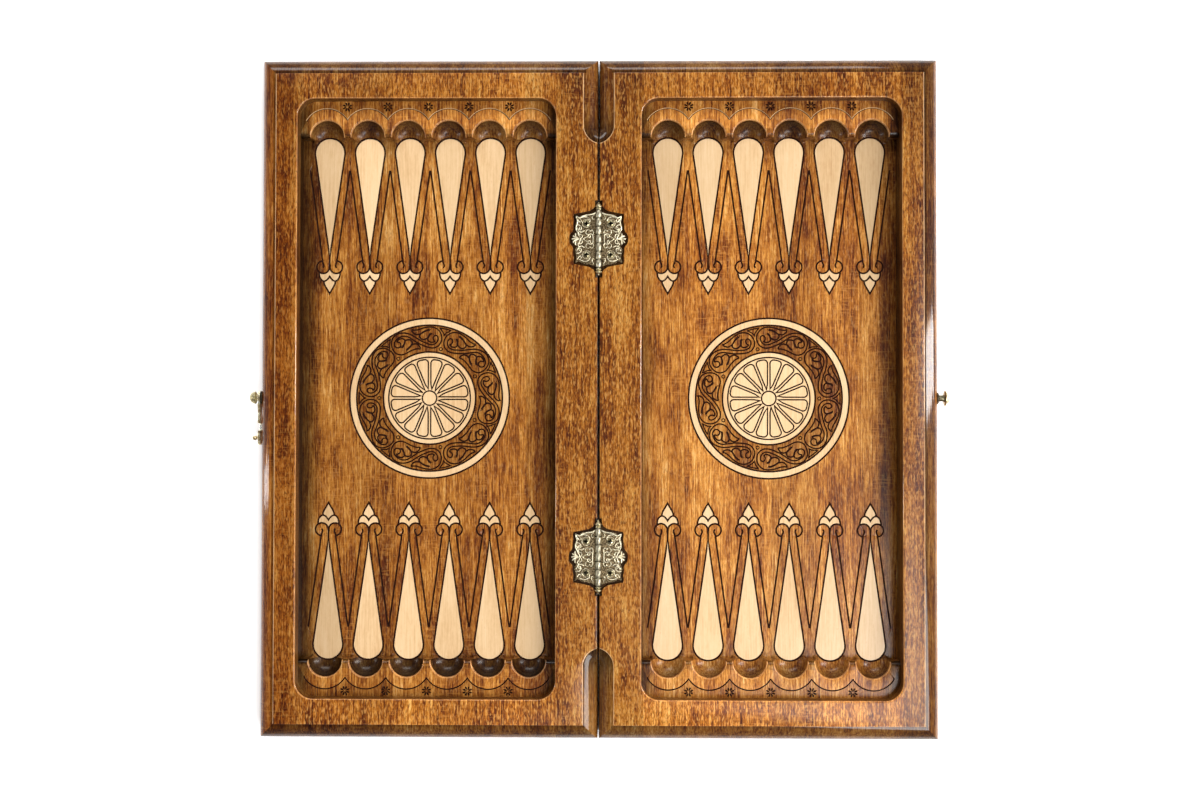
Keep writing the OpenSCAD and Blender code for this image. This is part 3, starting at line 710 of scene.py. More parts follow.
def board_tone(mid, label):
    """How light each face is painted (stain, painted shade and painted highlights), which faces
    are smooth, and which carry the far arches' painted highlight.
    """
    u, ay, far = mid[:, 0], np.abs(mid[:, 1]), mid[:, 1] > 0

    def by_end(values):
        return np.where(far, values[1], values[-1])

    tone = np.ones(len(mid))
    r = np.hypot(u - MID, mid[:, 1])
    tone[(r > DISC) & (r < RING_I)] = BAND_TONE
    d, dx = recess_distance(mid), to_point(mid)
    arch, rho = np.hypot(dx, ay - ARCH_Y), np.hypot(dx, ay - SCOOP_Y)
    # the ledges: lighter inside the arches, dark at the walls with painted shade and pooled stain,
    # and with painted shade over the fingers
    ledge = (d < -0.05) & (ay > FINGER_Y)
    tone[ledge] = LEDGE_TONE
    tone[ledge & (arch < ARCH_R)] = ARCH_TONE
    tone[ledge & (ay < SCOOP_Y + 7) & (rho > SCOOP_R)] = CUSP_TONE
    tone[ledge] *= by_end({1: 1.22, -1: 0.87})[ledge]
    # painted shade where the fingers round down to the floor
    tone[ledge & (ay < FINGER_Y + 3.4)] *= FINGER_SHADE
    wall = np.minimum(u - RECESS_X[0], RECESS_X[1] - u)
    # painted shade with pooled stain, dark by the side walls
    tone[ledge] *= np.interp(wall, [0, 5, 14], [0.22, 0.42, 1])[ledge]
    # painted shade with pooled stain: dark at the back of each scoop and round it on the floor;
    # the right half's near scoops are lighter, a painted sheen
    scoop = by_end(SCOOP_SHADE[label]) * np.interp(ay - SCOOP_Y, [0, 6, 14.5], [1.7, 1.25, 0.6])
    tone = np.where(ledge & (rho < SCOOP_R), scoop, tone)
    # painted shade with pooled stain: the floor beside each point's round end darkens towards the
    # scoop
    beside = (d < -0.05) & ~ledge & (rho < 24.5)
    tone = np.where(beside, np.interp(rho, [14, 24.5], [0.55, 1]), tone)
    # rubbed wear and a painted highlight: the scoops' rims and the recess's top edge are painted
    # pale
    tone[ledge & (rho > SCOOP_R - 0.25) & (rho < SCOOP_R + 0.7)] = SCOOP_RIM_WEAR_AND_HIGHLIGHT
    tone[(d > 0) & (d < 0.9)] = RIM_WEAR_AND_HIGHLIGHT
    # painted shade with pooled stain on the recess's walls
    tone[(d < 0) & (d > -0.1)] = 0.42
    # the moulding: painted shade dark at the two ends and in the stops, where its faces turn from
    # the light; paler along the sides
    stop, tail = stop_distance(mid), HALF_L - ay
    side = np.minimum(HALF_W - u, stop)
    edge, at_end = np.minimum(side, tail), (tail < EDGE_W) & (tail < side)
    tone[edge < EDGE_W] = EDGE_TONE[label]
    # painted shade with pooled stain: a dark line in the corner by the step
    tone[(edge < EDGE_W) & (edge > EDGE_W - 2.2)] = 0.5 * EDGE_TONE[label]
    tone[edge < 2.5] = 1.1
    tone[at_end] = by_end(END_MOULDING_SHADE)[at_end]
    # painted shade: a darker line by the step across the ends
    tone[at_end & (tail > EDGE_W - 1.8)] = 0.3
    run = np.interp(ay - HALF_L + by_end(STOP), *RUN_SHADE) * by_end({1: 1, -1: 0.68})
    tone = np.where((stop < EDGE_W) & (stop < tail), run, tone)
    # rubbed wear and a painted highlight: the eased rim by the moulding's step is pale, less so at
    # the ends
    rim = (edge > EDGE_W) & (edge < EDGE_W + 0.9)
    tone[rim] = EDGE_RIM_WEAR_AND_HIGHLIGHT
    tone[rim & (tail < side)] = 0.6 * EDGE_RIM_WEAR_AND_HIGHLIGHT
    smooth_cut = (edge < EDGE_W + 0.9) | ((d > -0.05) & (d < 0.9))
    # painted highlight: the far cut arches are painted pale along their outer side, standing in
    # for glints off the lacquered edges
    pale_arch_mask = far & (ay > SCOOP_Y + 14.5) & (arch < ARCH_R + 0.8) & (arch > ARCH_R + 0.05)
    tone[pale_arch_mask] = ARCH_HIGHLIGHT
    # painted shade on the eased edge at the hinge line, darkening the gap between the halves
    tone[u < FACE + EASE_D[-1]] = 0.3
    # painted shade in the mortises and the trench under the hinges
    for hy in (-HINGE_Y, HINGE_Y):
        trench = (np.abs(mid[:, 1] - hy) < TRENCH_HALF) & (u < TRENCH_R)
        tone[inside(mid - [0, hy], MORTISE) | trench] = UNDER_HINGE_SHADE
    return tone, smooth_cut, pale_arch_mask


# ---- light figures -------------------------------------------------------------------

def plate(outline, strokes=(), hole=None):
    """A light plate in its pocket, flush on top, and which of its faces are cuts."""
    gap = 0.03
    rel = Relief(lambda p: np.full(len(p), FLOOR))
    for q, s in [(outline, 1)] + ([(hole, -1)] if hole is not None else []):
        rel.stroke(q, LINE, CUT, True, sides=())
        rel.line(shrink(q, s * gap), True)
        rel.line(shrink(q, s * LINE), True)
    for p, h in strokes:
        rel.stroke(p, h, 0.6, True)

    def keep(m):
        ok = inside(m, shrink(outline, gap))
        return ok if hole is None else ok & ~inside(m, shrink(hole, -gap))

    v, z, f, _, cut = rel.build(keep)
    return closed_solid(v, z, f, POCKET_Z), cut > 0.02


def build_row(label, row, kind, name, tones):
    """One row of six light figures, from the hinge line outward."""
    plates = [plate(shape) for shape in FIGURES[kind]]
    if row == "near":
        plates = [(mirrored(solid, [1, -1, 1]), cuts) for solid, cuts in plates]
    parts, index, tone = [], [], []
    for x, lightness in zip(POINT_XS, tones):
        for solid, cuts in plates:
            count = len(solid[1])
            parts.append(moved(solid, [x, 0, 0]))
            index.append(np.r_[cuts, np.zeros(count - len(cuts))])
            tone.append(np.full(count, lightness))
    add_piece(f"{label}_{row}_{name}_plates", f"{label}_{row}_{kind}", "light_beech",
              on_half(together(parts), label), ["light", "line"], np.concatenate(index),
              np.concatenate(tone), 30)


# lightness of the six points of each row, from the hinge line outward: the wood's own variation,
# with painted shade on the points by the recess walls and in the far rows, and a painted sheen on
# the near rows
ROW_TONES = {("left", "far"): [0.87, 0.99, 0.94, 0.99, 1.07, 0.89],
             ("left", "near"): [0.95, 1.02, 1.0, 1.07, 1.07, 0.84],
             ("right", "far"): [0.77, 0.86, 0.89, 0.88, 0.83, 0.73],
             ("right", "near"): [1.0, 1.03, 1.0, 0.96, 0.93, 0.90]}


def build_wood():
    """The two carved halves and the light figures in them."""
    for label in ("right", "left"):
        solid, material, tone = carve_board(label)
        add_piece(f"{label}_half_carved", f"{label}_tray", "stained_beech",
                  on_half(solid, label), ["stained", "line", "smooth"], material, tone, 28)
    for (label, row), tones in ROW_TONES.items():
        build_row(label, row, "points", "point", tones)
        build_row(label, row, "finials", "finial", [0.5 + t / 2 for t in tones])
    cuts = [(circle(36.9), 0.68), (circle(6.5, 0.8), 0.66)]
    cuts += [(turn(petal(), (k + 0.5) * 360 / PETALS), 0.64) for k in range(PETALS)]
    medallion = {"ring": plate(circle(RING_O), hole=circle(RING_I)),
                 "rosette": plate(circle(DISC), cuts)}
    for label in ("right", "left"):
        for kind, (solid, index) in medallion.items():
            add_piece(f"{label}_{kind}_plate", f"{label}_{kind}", "light_beech",
                      on_half(moved(solid, [MID, 0, 0]), label), ["light", "line"], index,
                      smooth_angle=30)


# ---- hinges --------------------------------------------------------------------------

LEAF_EDGE = np.array([
    [2.2, 24.6], [4.0, 23.9], [6.2, 22.9], [9.0, 22.4], [12.0, 22.0], [14.6, 21.3],
    [16.4, 20.2], [17.6, 19.5], [18.8, 19.9], [20.5, 21.0], [20.6, 19.6], [20.0, 18.0],
    [19.7, 15.9], [20.2, 13.6], [20.9, 11.2], [20.7, 8.8], [19.6, 6.8], [18.7, 5.6]])
# raised curls of the upper half of a leaf, with their half widths
LEAF_CURLS = [
    (0.5, [16.2, 0], [16.9, 2.4], [18.3, 4.6], [17.6, 6.2]),
    (0.45, [16.2, 0], [14.6, 1.6], [14.9, 3.6], [16.4, 4.4], [17.4, 3.3]),
    (0.5, [19.2, 12.6], [17.2, 12.4], [15.6, 10.9], [15.4, 9], [16.6, 8], [17.6, 8.8], [17, 9.8]),
    (0.5, [19, 9.6], [17.4, 6.9], [15, 6.3], [13.2, 7.2]),
    (0.5, [16.4, 18.4], [13.8, 19.5], [11, 19.6], [8.6, 18.4], [7.6, 16.2], [8.6, 15.2],
     [9.4, 16.2]),
    (0.45, [18.4, 17.2], [17.4, 15.6], [16.2, 15], [15.2, 16], [15.9, 17.2]),
    (0.4, [4.6, 21.4], [5.8, 19.2], [5.4, 17.2], [4.4, 17.6]),
    (0.5, [5, 0.4], [5.2, 3.2], [7.2, 4.6], [9.2, 3.6], [9.2, 1.8], [7.8, 1.5], [7.4, 2.6]),
    (0.4, [9.4, 3.4], [11.2, 5.2], [10.9, 7.6], [9.4, 8.2]),
    (0.4, [5.2, 3.4], [4.6, 6], [5.8, 8], [7.2, 7.4]),
    (0.4, [9.2, 2.2], [11.4, 1.6], [13.2, 0.4])]
SHELL_X = 17.2                   # middle of the scalloped shell


def leaf_outline():
    """One leaf's outline: horned corners and a scalloped shell at mid height."""
    shell = [arc(SHELL_X + 5.2 * math.cos(math.radians(a)), 5.0 * math.sin(math.radians(a)),
                 1.35, a + 80, a - 80 if a else 0, 0.4) for a in (62, 31, 0)]
    return doubled(join([[2.2, 0], [2.2, 10]], smooth(LEAF_EDGE, 0.8), *shell), ALONG)[:-1]


def leaf_ridges():
    """Raised ornament of a leaf: border, shell flutes, scrolls and screw rings."""
    ridges = [(smooth(LEAF_EDGE - [0.9, 0.85], 0.7), 0.62)]
    for a in np.radians([-56, -28, 0, 28, 56]):
        ridges.append(([[17.0, 0], [20.2 + 0.5 * math.cos(a), 0.5 + 2.2 * math.sin(a)],
                        [SHELL_X + 6.1 * math.cos(a), 5.6 * math.sin(a)]], [0.3, 0.5, 0.75]))
    upper = [(smooth(p, 0.6), half) for half, *p in LEAF_CURLS]
    upper.append((arc(SCREW_X, SCREW_Y, 3.7, -150, 120, 0.6), 0.35))
    for p, half in upper:
        ridges += [(p, half), (p * ALONG, half)]
    return ridges


def hinge_leaf(label):
    """A leaf with its knuckles on the +X side at Y = 0, and the tone of its faces."""
    outline, field = leaf_outline(), LEAF_TOP - 0.6
    screws = [np.array([SCREW_X, s * SCREW_Y]) for s in (1, -1)]

    def height(p):
        z = np.full(len(p), field)
        for c in screws:
            rho = np.hypot(*(p - c).T)
            z = np.where(rho < 2.75, PLATE_Z + 0.2, np.where(rho < 3.1, field + 0.25, z))
        return z

    rel = Relief(height)
    rel.line(outline, True)
    for c in screws:
        for r in (2.72, 2.77, 3.08, 3.12):
            rel.line(circle(r, 0.5, c), True)
    for p, h in leaf_ridges():
        rel.stroke(p, h, -0.6, sides=(-1, -0.6, 0, 0.6, 1), round_top=True)
    length, notch, play = BARREL_L / KNUCKLES, KNUCKLE_R + 0.3, 0.12
    starts = [-BARREL_L / 2 + i * length for i in range(KNUCKLES)]
    own, others = (starts[::2], starts[1::2]) if label == "left" else (starts[1::2], starts[::2])
    gaps = [(y - play, y + length + play) for y in others]
    for y in (y for gap in gaps for y in gap):
        rel.line([[2.2, y], [notch, y]])
    rel.line([[notch, -24.5], [notch, 24.5]])

    def keep(m):
        ok = inside(m, outline)
        for lo, hi in gaps:
            ok &= ~((m[:, 0] < notch) & (m[:, 1] > lo) & (m[:, 1] < hi))
        return ok

    v, z, f, *_ = rel.build(keep)
    parts = [closed_solid(v, z, f, PLATE_Z)]
    parts += [tube(KNUCKLE_R, 1.3, y + 0.2, y + length - 0.2, 0.4, (0, 0, AXIS_Z)) for y in own]
    knuckle = np.repeat([0.12, 0.2, 0.5, 0.2, 0.12, 0.1], 40)      # painted shade on the knuckles' ends and bevels, dark between knuckles
    return together(parts), np.r_[np.ones(len(parts[0][1])), np.tile(knuckle, len(own))]


def screw_head(x, y, z, r=2.6, rise=0.55, shank=11.5):
    """Domed head with a cross recess on its shank, painted near black as painted shade, and the
    tone of its faces.
    """
    arm, wide, floor = 2.1, 0.62, -0.75
    quarter = np.array([[arm, wide], [wide + 0.12, wide + 0.12], [wide, arm]])
    cross = join(*[turn(quarter, a) for a in (0, 90, 180, 270)])

    def height(p):
        return np.where(inside(p, shrink(cross, 0.1)), floor,
                        rise * (1 - (np.hypot(*p.T) / r) ** 2))

    rel = Relief(height)
    for ring in (circle(r, 0.45), circle(2.2, 0.45), circle(1.9, 0.45), cross,
                 shrink(cross, 0.12)):
        rel.line(ring, True)
    v, zz, f, mid, _ = rel.build(lambda m: np.hypot(*m.T) < r)
    head = closed_solid(v, zz, f, floor - 0.15)
    stem = lathe([(0, -shank), (1.1, -shank + 1.5), (1.2, floor - 0.07), (0, floor - 0.07)],
                 (0, 0, 1), (0, 0, 0), 20)
    # painted shade: the cross recess is painted near black
    tone = np.where(inside(mid, cross), 0.02, 0.8)
    solid = moved(together([head, stem]), [x, y, z])
    return solid, np.r_[tone, np.ones(len(solid[1]) - len(tone))]


FINIAL_TOP = [(1.25, 0.1), (1.95, 0.15), (2.5, 0.4), (2.62, 0.85), (2.5, 1.3), (1.85, 1.6),
              (1.95, 1.8), (2.45, 2.2), (2.7, 2.9), (2.62, 3.7), (2.15, 4.6), (1.4, 5.4),
              (0.75, 6.2), (0.35, 7.0), (0, 7.5)]
FINIAL_END = [(0, 0.12), (1.95, 0.15), (2.5, 0.45), (2.62, 1.0), (2.45, 1.6), (1.8, 2.0),
              (1.95, 2.3), (2.6, 2.7), (2.85, 3.3), (2.75, 4.0), (2.2, 4.7), (1.35, 5.1),
              (1.0, 5.5), (0.95, 6.0), (0.6, 6.6), (0, 6.9)]


def build_hinges():
    shaft = [(0, -BARREL_L), (1.25, -BARREL_L), (1.25, -2)] + FINIAL_TOP
    for name, hy in (("far", HINGE_Y), ("near", -HINGE_Y)):
        for label in ("left", "right"):
            leaf, tone = hinge_leaf(label)
            add_piece(f"{name}_{label}_leaf_cast", f"{name}_{label}_leaf", "antique_brass",
                      on_half(moved(leaf, [0, hy, 0]), label), tone=tone, smooth_angle=45)
            heads, tones = zip(*[screw_head(SCREW_X, hy + s * SCREW_Y, LEAF_TOP - 0.55)
                                 for s in (-1, 1)])
            add_piece(f"{name}_{label}_screw_heads", f"{name}_{label}_screws", "bright_brass",
                      on_half(together(heads), label), tone=np.concatenate(tones))
        add_piece(f"{name}_pin_finial", f"{name}_hinge_pin", "bright_brass",
                  lathe(shaft, (0, 1, 0), (0, hy + BARREL_L / 2, AXIS_Z)), smooth_angle=50)
        add_piece(f"{name}_cap_finial", f"{name}_pin_cap", "bright_brass",
                  lathe(FINIAL_END, (0, -1, 0), (0, hy - BARREL_L / 2, AXIS_Z)),
                  smooth_angle=50)


# ---- latch ---------------------------------------------------------------------------

ARM_X, ARM_T = 2.3, 2.4          # the hook's gap to the board and its thickness
REACH = 2 * (AXIS_Z - LATCH_Z)   # from the pivot to the catch pin when closed
NOTCH, BORE_R = 3.3, 2.25
SCREW_FOOT = [(0, -13.5), (1.2, -12), (1.9, -11), (1.9, 0), (2.2, 0)]


def hook_outline():
    """The arm from the side: X away from the pivot along the arm, Y up."""
    up = math.degrees(math.asin(3.4 / (REACH + NOTCH)))
    up_in = math.degrees(math.asin(3.6 / (REACH - NOTCH)))
    low = smooth([[2.4, -5.6], [6.4, -4.3], [10, -3.2], [15, -3.0], [19.4, -4.6],
                  [23.4, -7.0], [28, -7.6], [32.4, -6.2], [36.4, -4.7], [40.2, -3.9]], 1.2)
    tail = arc(39.0, -0.6, 3.4, -68, 80, 0.8)
    back = smooth([[39.0, 2.8], [36.0, 3.3], [33.4, 3.3]], 1.0)
    slot = join(arc(0, 0, REACH + NOTCH, up, 0, 0.8), arc(REACH, 0, NOTCH, 0, -180, 0.6),
                arc(0, 0, REACH - NOTCH, 0, up_in, 0.8))
    top = smooth([[22.0, 3.8], [18.5, 3.4], [14.5, 2.6], [10.5, 3.0], [6.4, 4.4],
                  [2.4, 5.6]], 1.2)
    return join(low, tail, back, slot, top, arc(0, 0, 6.1, 67, 293, 0.8))[:-1]


def hook_arm():
    """The hook's arm, cut from sheet with eased edges and a groove, standing on its face."""
    outline, bore = hook_outline(), circle(BORE_R, 0.6)
    ease_d, ease_z = [0, 0.15, 0.45, 0.9], [0.55, 0.25, 0.05, 0]

    def height(p):
        gap = np.minimum.reduce([line_position(p, q, np.roll(q, -1, axis=0))[0].min(1)
                                 for q in (outline, bore)])
        return ARM_T - np.interp(gap, ease_d, ease_z)

    rel = Relief(height)
    for d in ease_d:
        rel.line(shrink(outline, d), True)
        rel.line(shrink(bore, -d), True)
    rel.stroke(smooth([[8.5, 0], [14, -0.2], [19, -1.4]], 1), 0.5, 0.45)
    v, z, f, *_ = rel.build(lambda m: inside(m, outline) & (np.hypot(*m.T) > BORE_R))
    verts, faces = closed_solid(v, z, f, 0.0)
    # plan X runs along -Y, plan Y is up, and the height stands out along -X
    return np.c_[-HALF_W - ARM_X - verts[:, 2], -verts[:, 0], LATCH_Z + verts[:, 1]], faces


def build_latch():
    knob = lathe([(0, -1.2), (1.5, -1.2), (1.3, 0.4), (1.1, 1.2), (1.7, 1.8), (2.2, 2.9),
                  (2.1, 4.0), (1.5, 4.9), (0.6, 5.4), (0, 5.5)], (-1, 0, 0),
                 (-HALF_W - ARM_X - ARM_T, -REACH - 9.6, LATCH_Z - 0.6), 32)
    hook = together([hook_arm(), knob])
    add_piece("hook_arm", "latch_hook", "bright_brass", hook, ["antique_brass_side"],
              tone=np.full(len(hook[1]), 1.5), smooth_angle=40)
    head = -box_mm("hook_screw")[0][0] - HALF_W
    neck = ARM_X + ARM_T + 0.3
    collars = [(2.2, 0), (3.3, 0), (3.5, 0.5), (3.3, 1.1), (4.3, 1.2), (4.6, 1.6), (4.5, 2.0),
               (5.4, 2.1), (5.55, 2.5)]
    profile = SCREW_FOOT + [(r, neck + h) for r, h in collars]
    add_piece("hook_screw_dome", "hook_screw", "bright_brass",
              lathe(profile + dome(5.45, head - neck - 2.9, neck + 2.9), (-1, 0, 0),
                    (-HALF_W, 0, LATCH_Z)), smooth_angle=40)
    # the washers in near-black brass: painted shade under the hook and the pin's cap
    for name, side, r in (("hook_washer", -1, 6.0), ("catch_washer", 1, 5.3)):
        ring = tube(r, 2.4, 0.02, 2.0, 0.45, (side * HALF_W, 0, LATCH_Z), (side, 0, 0))
        add_piece(f"{name}_disc", name, "dark_brass", ring)
    head = box_mm("catch_pin")[1][0] - HALF_W
    stem = SCREW_FOOT + [(2.2, 2.0), (2.7, 2.05), (2.95, 2.4), (2.95, 4.2), (2.7, 4.4),
                         (2.7, 4.7), (2.95, 4.9), (2.95, 7.4)]
    cap = [(3.2, 7.6), (6.6, 7.65), (6.9, 7.9), (6.9, 8.4), (6.6, 8.7), (5.6, 8.8), (5.4, 9.0)]
    pin = lathe(stem + cap + dome(5.4, head - 9.0, 9.0), (1, 0, 0), (HALF_W, 0, LATCH_Z))
    tone = np.where(np.arange(len(pin[1])) < 48 * len(stem), 0.35, 1.25)
    add_piece("catch_pin_head", "catch_pin", "bright_brass", pin, tone=tone, smooth_angle=40)


# ---- materials -----------------------------------------------------------------------

class Graph:
    """A material's node tree, written as expressions."""

    def __init__(self, name):
        self.mat = bpy.data.materials.new(name)
        self.mat.use_nodes = True
        self.tree = self.mat.node_tree
        self.shader = self.tree.nodes["Principled BSDF"].inputs
        self.coords = self.new("TexCoord").outputs["Object"]

    def new(self, kind, *values):
        """A node with its first inputs linked or set."""
        node = self.tree.nodes.new("ShaderNode" + kind)
        for socket, value in zip(node.inputs, values):
            self.put(socket, value)
        return node

    def put(self, socket, value):
        if isinstance(value, bpy.types.NodeSocket):
            self.tree.links.new(value, socket)
        else:
            socket.default_value = value

    def math(self, op, a, b=0.0, clamp=False):
        node = self.new("Math", a, b)
        node.operation, node.use_clamp = op, clamp
        return node.outputs[0]

    def mul(self, *values):
        return functools.reduce(lambda a, b: self.math("MULTIPLY", a, b), values)

    def add(self, *values):
        return functools.reduce(lambda a, b: self.math("ADD", a, b), values)

    def sub(self, a, b):
        return self.math("SUBTRACT", a, b)

    def size(self, a):
        return self.math("ABSOLUTE", a)

    def swing(self, texture, amount):
        """A texture's swing about its middle value, scaled."""
        return self.mul(self.sub(texture, 0.5), amount)

    def xyz(self):
        return self.new("SeparateXYZ", self.coords).outputs

    def noise(self, across, along, detail, rough, shift=(0, 0, 0)):
        """Noise with its own scales across and along the grain, per metre."""
        node = self.new("Mapping", self.coords, shift)
        node.inputs["Scale"].default_value = (across, along, across)
        tex = self.new("TexNoise", node.outputs[0])
        for name, value in (("Scale", 1.0), ("Detail", detail), ("Roughness", rough)):
            tex.inputs[name].default_value = value
        return tex.outputs[0]

    def ramp(self, fac, stops, interpolation="LINEAR"):
        node = self.new("ValToRGB", fac)
        node.color_ramp.interpolation = interpolation
        elements = node.color_ramp.elements
        while len(elements) < len(stops):
            elements.new(0.5)
        for e, (position, colour) in zip(elements, stops):
            e.position, e.color = position, (*colour, 1)
        return node.outputs[0]

    def mix(self, fac, a, b, blend="MIX"):
        """Colour a with colour b over it, b given as three numbers."""
        node = self.new("Mix", fac)
        node.data_type, node.blend_type = "RGBA", blend
        self.put(node.inputs[6], a)
        self.put(node.inputs[7], (*b, 1))
        return node.outputs[2]

    def scale_colour(self, colour, by):
        node = self.new("VectorMath", colour)
        node.operation = "SCALE"
        self.put(node.inputs["Scale"], by)
        return node.outputs[0]

    def step(self, value, lo, hi, out_lo=0.0, out_hi=1.0):
        node = self.new("MapRange", value, lo, hi, out_lo, out_hi)
        node.interpolation_type = "SMOOTHSTEP"
        return node.outputs[0]

    def tone(self):
        node = self.new("Attribute")
        node.attribute_name = "tone"
        return node.outputs["Fac"]

    def bump(self, height, strength, distance):
        node = self.new("Bump")
        for name, value in (("Strength", strength), ("Distance", distance), ("Height", height)):
            self.put(node.inputs[name], value)
        return node.outputs[0]

    def finish(self, colour, rough, bump=None, coat=0.0, coat_rough=0.1, metal=0.0,
               specular=0.5):
        for name, value in (("Base Color", colour), ("Roughness", rough), ("Metallic", metal),
                            ("Specular IOR Level", specular), ("Coat Weight", coat),
                            ("Coat Roughness", coat_rough)):
            self.put(self.shader[name], value)
        if bump is not None:
            self.put(self.shader["Normal"], bump)
        return self.mat


# glue joints between the staves, as X in mm, and how light each stave took the stain
STAVES = [(-300, 0.80), (-263, 0.98), (-221, 0.90), (-183, 1.04), (-146, 1.0), (-102, 1.12),
          (-66, 0.92), (-38, 0.76), (0, 0.78), (38, 1.10), (76, 1.22), (117, 1.16),
          (153.7, 0.98), (196, 1.14), (233, 1.0), (266, 0.84)]
STAVE_SPAN = 2 * abs(STAVES[0][0])


def stave_value(g, values):
    """One number below 1 for each stave, chosen by the X position."""
    place = g.add(g.mul(g.xyz()[0], 1 / (STAVE_SPAN * MM)), 0.5)
    return g.ramp(place, [(s / STAVE_SPAN + 0.5, (float(v),) * 3)
                          for (s, _), v in zip(STAVES, values)], "CONSTANT")


def stave_shift(g, seed):
    """Another start of the grain in each stave, as a vector along the grain."""
    values = np.random.default_rng(seed).uniform(0, 1, len(STAVES))
    return g.new("CombineXYZ", 0.0, g.mul(stave_value(g, values), 9.0)).outputs[0]


STAIN = [(0.0, (0.026, 0.006, 0.003)), (0.28, (0.130, 0.031, 0.008)), (0.5, (0.34, 0.112, 0.015)),
         (0.72, (0.56, 0.240, 0.045)), (1.0, (0.80, 0.48, 0.18))]
DARK_FLECK, PALE_FLECK_AND_GLINT, RAY_FLECK = (0.085, 0.019, 0.007), (0.74, 0.39, 0.13), (0.62, 0.27, 0.055)
RAIL_TINT, LEFT_TINT, RUBBED_AND_HIGHLIGHT_COLOUR = (1.0, 0.90, 0.66), (1.0, 0.80, 0.58), (0.70, 0.46, 0.24)


def pooled_stain_and_shade(g, jitter):
    """How light the recess floor is painted: stain pooled thick along the side walls, with painted
    shade there too.
    """
    x, y, z = g.xyz()
    ax = g.size(x)
    inner = g.add(g.sub(ax, RECESS_X[0] * MM), jitter)
    outer = g.add(g.sub(RECESS_X[1] * MM, ax), jitter)
    # painted shade: on the right half the darkening by the outer wall stays lighter
    right_least = g.step(x, -0.1, 0.1, 0.0, 0.58)
    wall_stain_and_shade = g.mul(g.step(inner, 0.0, 0.016, 0.42, 1.0),
                   g.math("MAXIMUM", g.step(outer, 0.002, 0.022, 0.24, 1.0), right_least))
    # only inside the recess, not on the outer faces and the underside
    here = g.mul(g.step(z, (LEDGE - 2) * MM, (LEDGE + 1) * MM, 1.0, 0.0),
                 g.step(z, 0.006, 0.0105), g.step(ax, 0.284, 0.29, 1.0, 0.0),
                 g.step(g.size(y), 0.28, 0.288, 1.0, 0.0))
    return g.add(g.mul(here, wall_stain_and_shade), g.sub(1.0, here))


def stain_and_painted_light(g, jitter):
    """How light the board is painted, apart from the staves: stain, painted shade, and painted
    light that is darker towards the far end.
    """
    x, y, _ = g.xyz()
    rail = g.step(g.add(g.size(x), g.mul(jitter, 0.4)), 0.262, 0.278, 1.0, 0.78)
    # painted shade: the far right of the board is painted darker
    far_right_shade = g.mul(g.step(x, 0.0, 0.05), g.step(y, 0.2, 0.28, 0.0, 0.13))
    # painted light: darker towards the far end, lighter at the near end, standing in for the sheen
    # there
    return g.mul(pooled_stain_and_shade(g, jitter), g.math("MINIMUM", g.tone(), 1.4), rail,
                 g.step(y, 0.16, 0.29, 1.0, 0.84), g.step(y, -0.29, -0.2, 1.1, 1.0),
                 g.sub(1.0, far_right_shade))


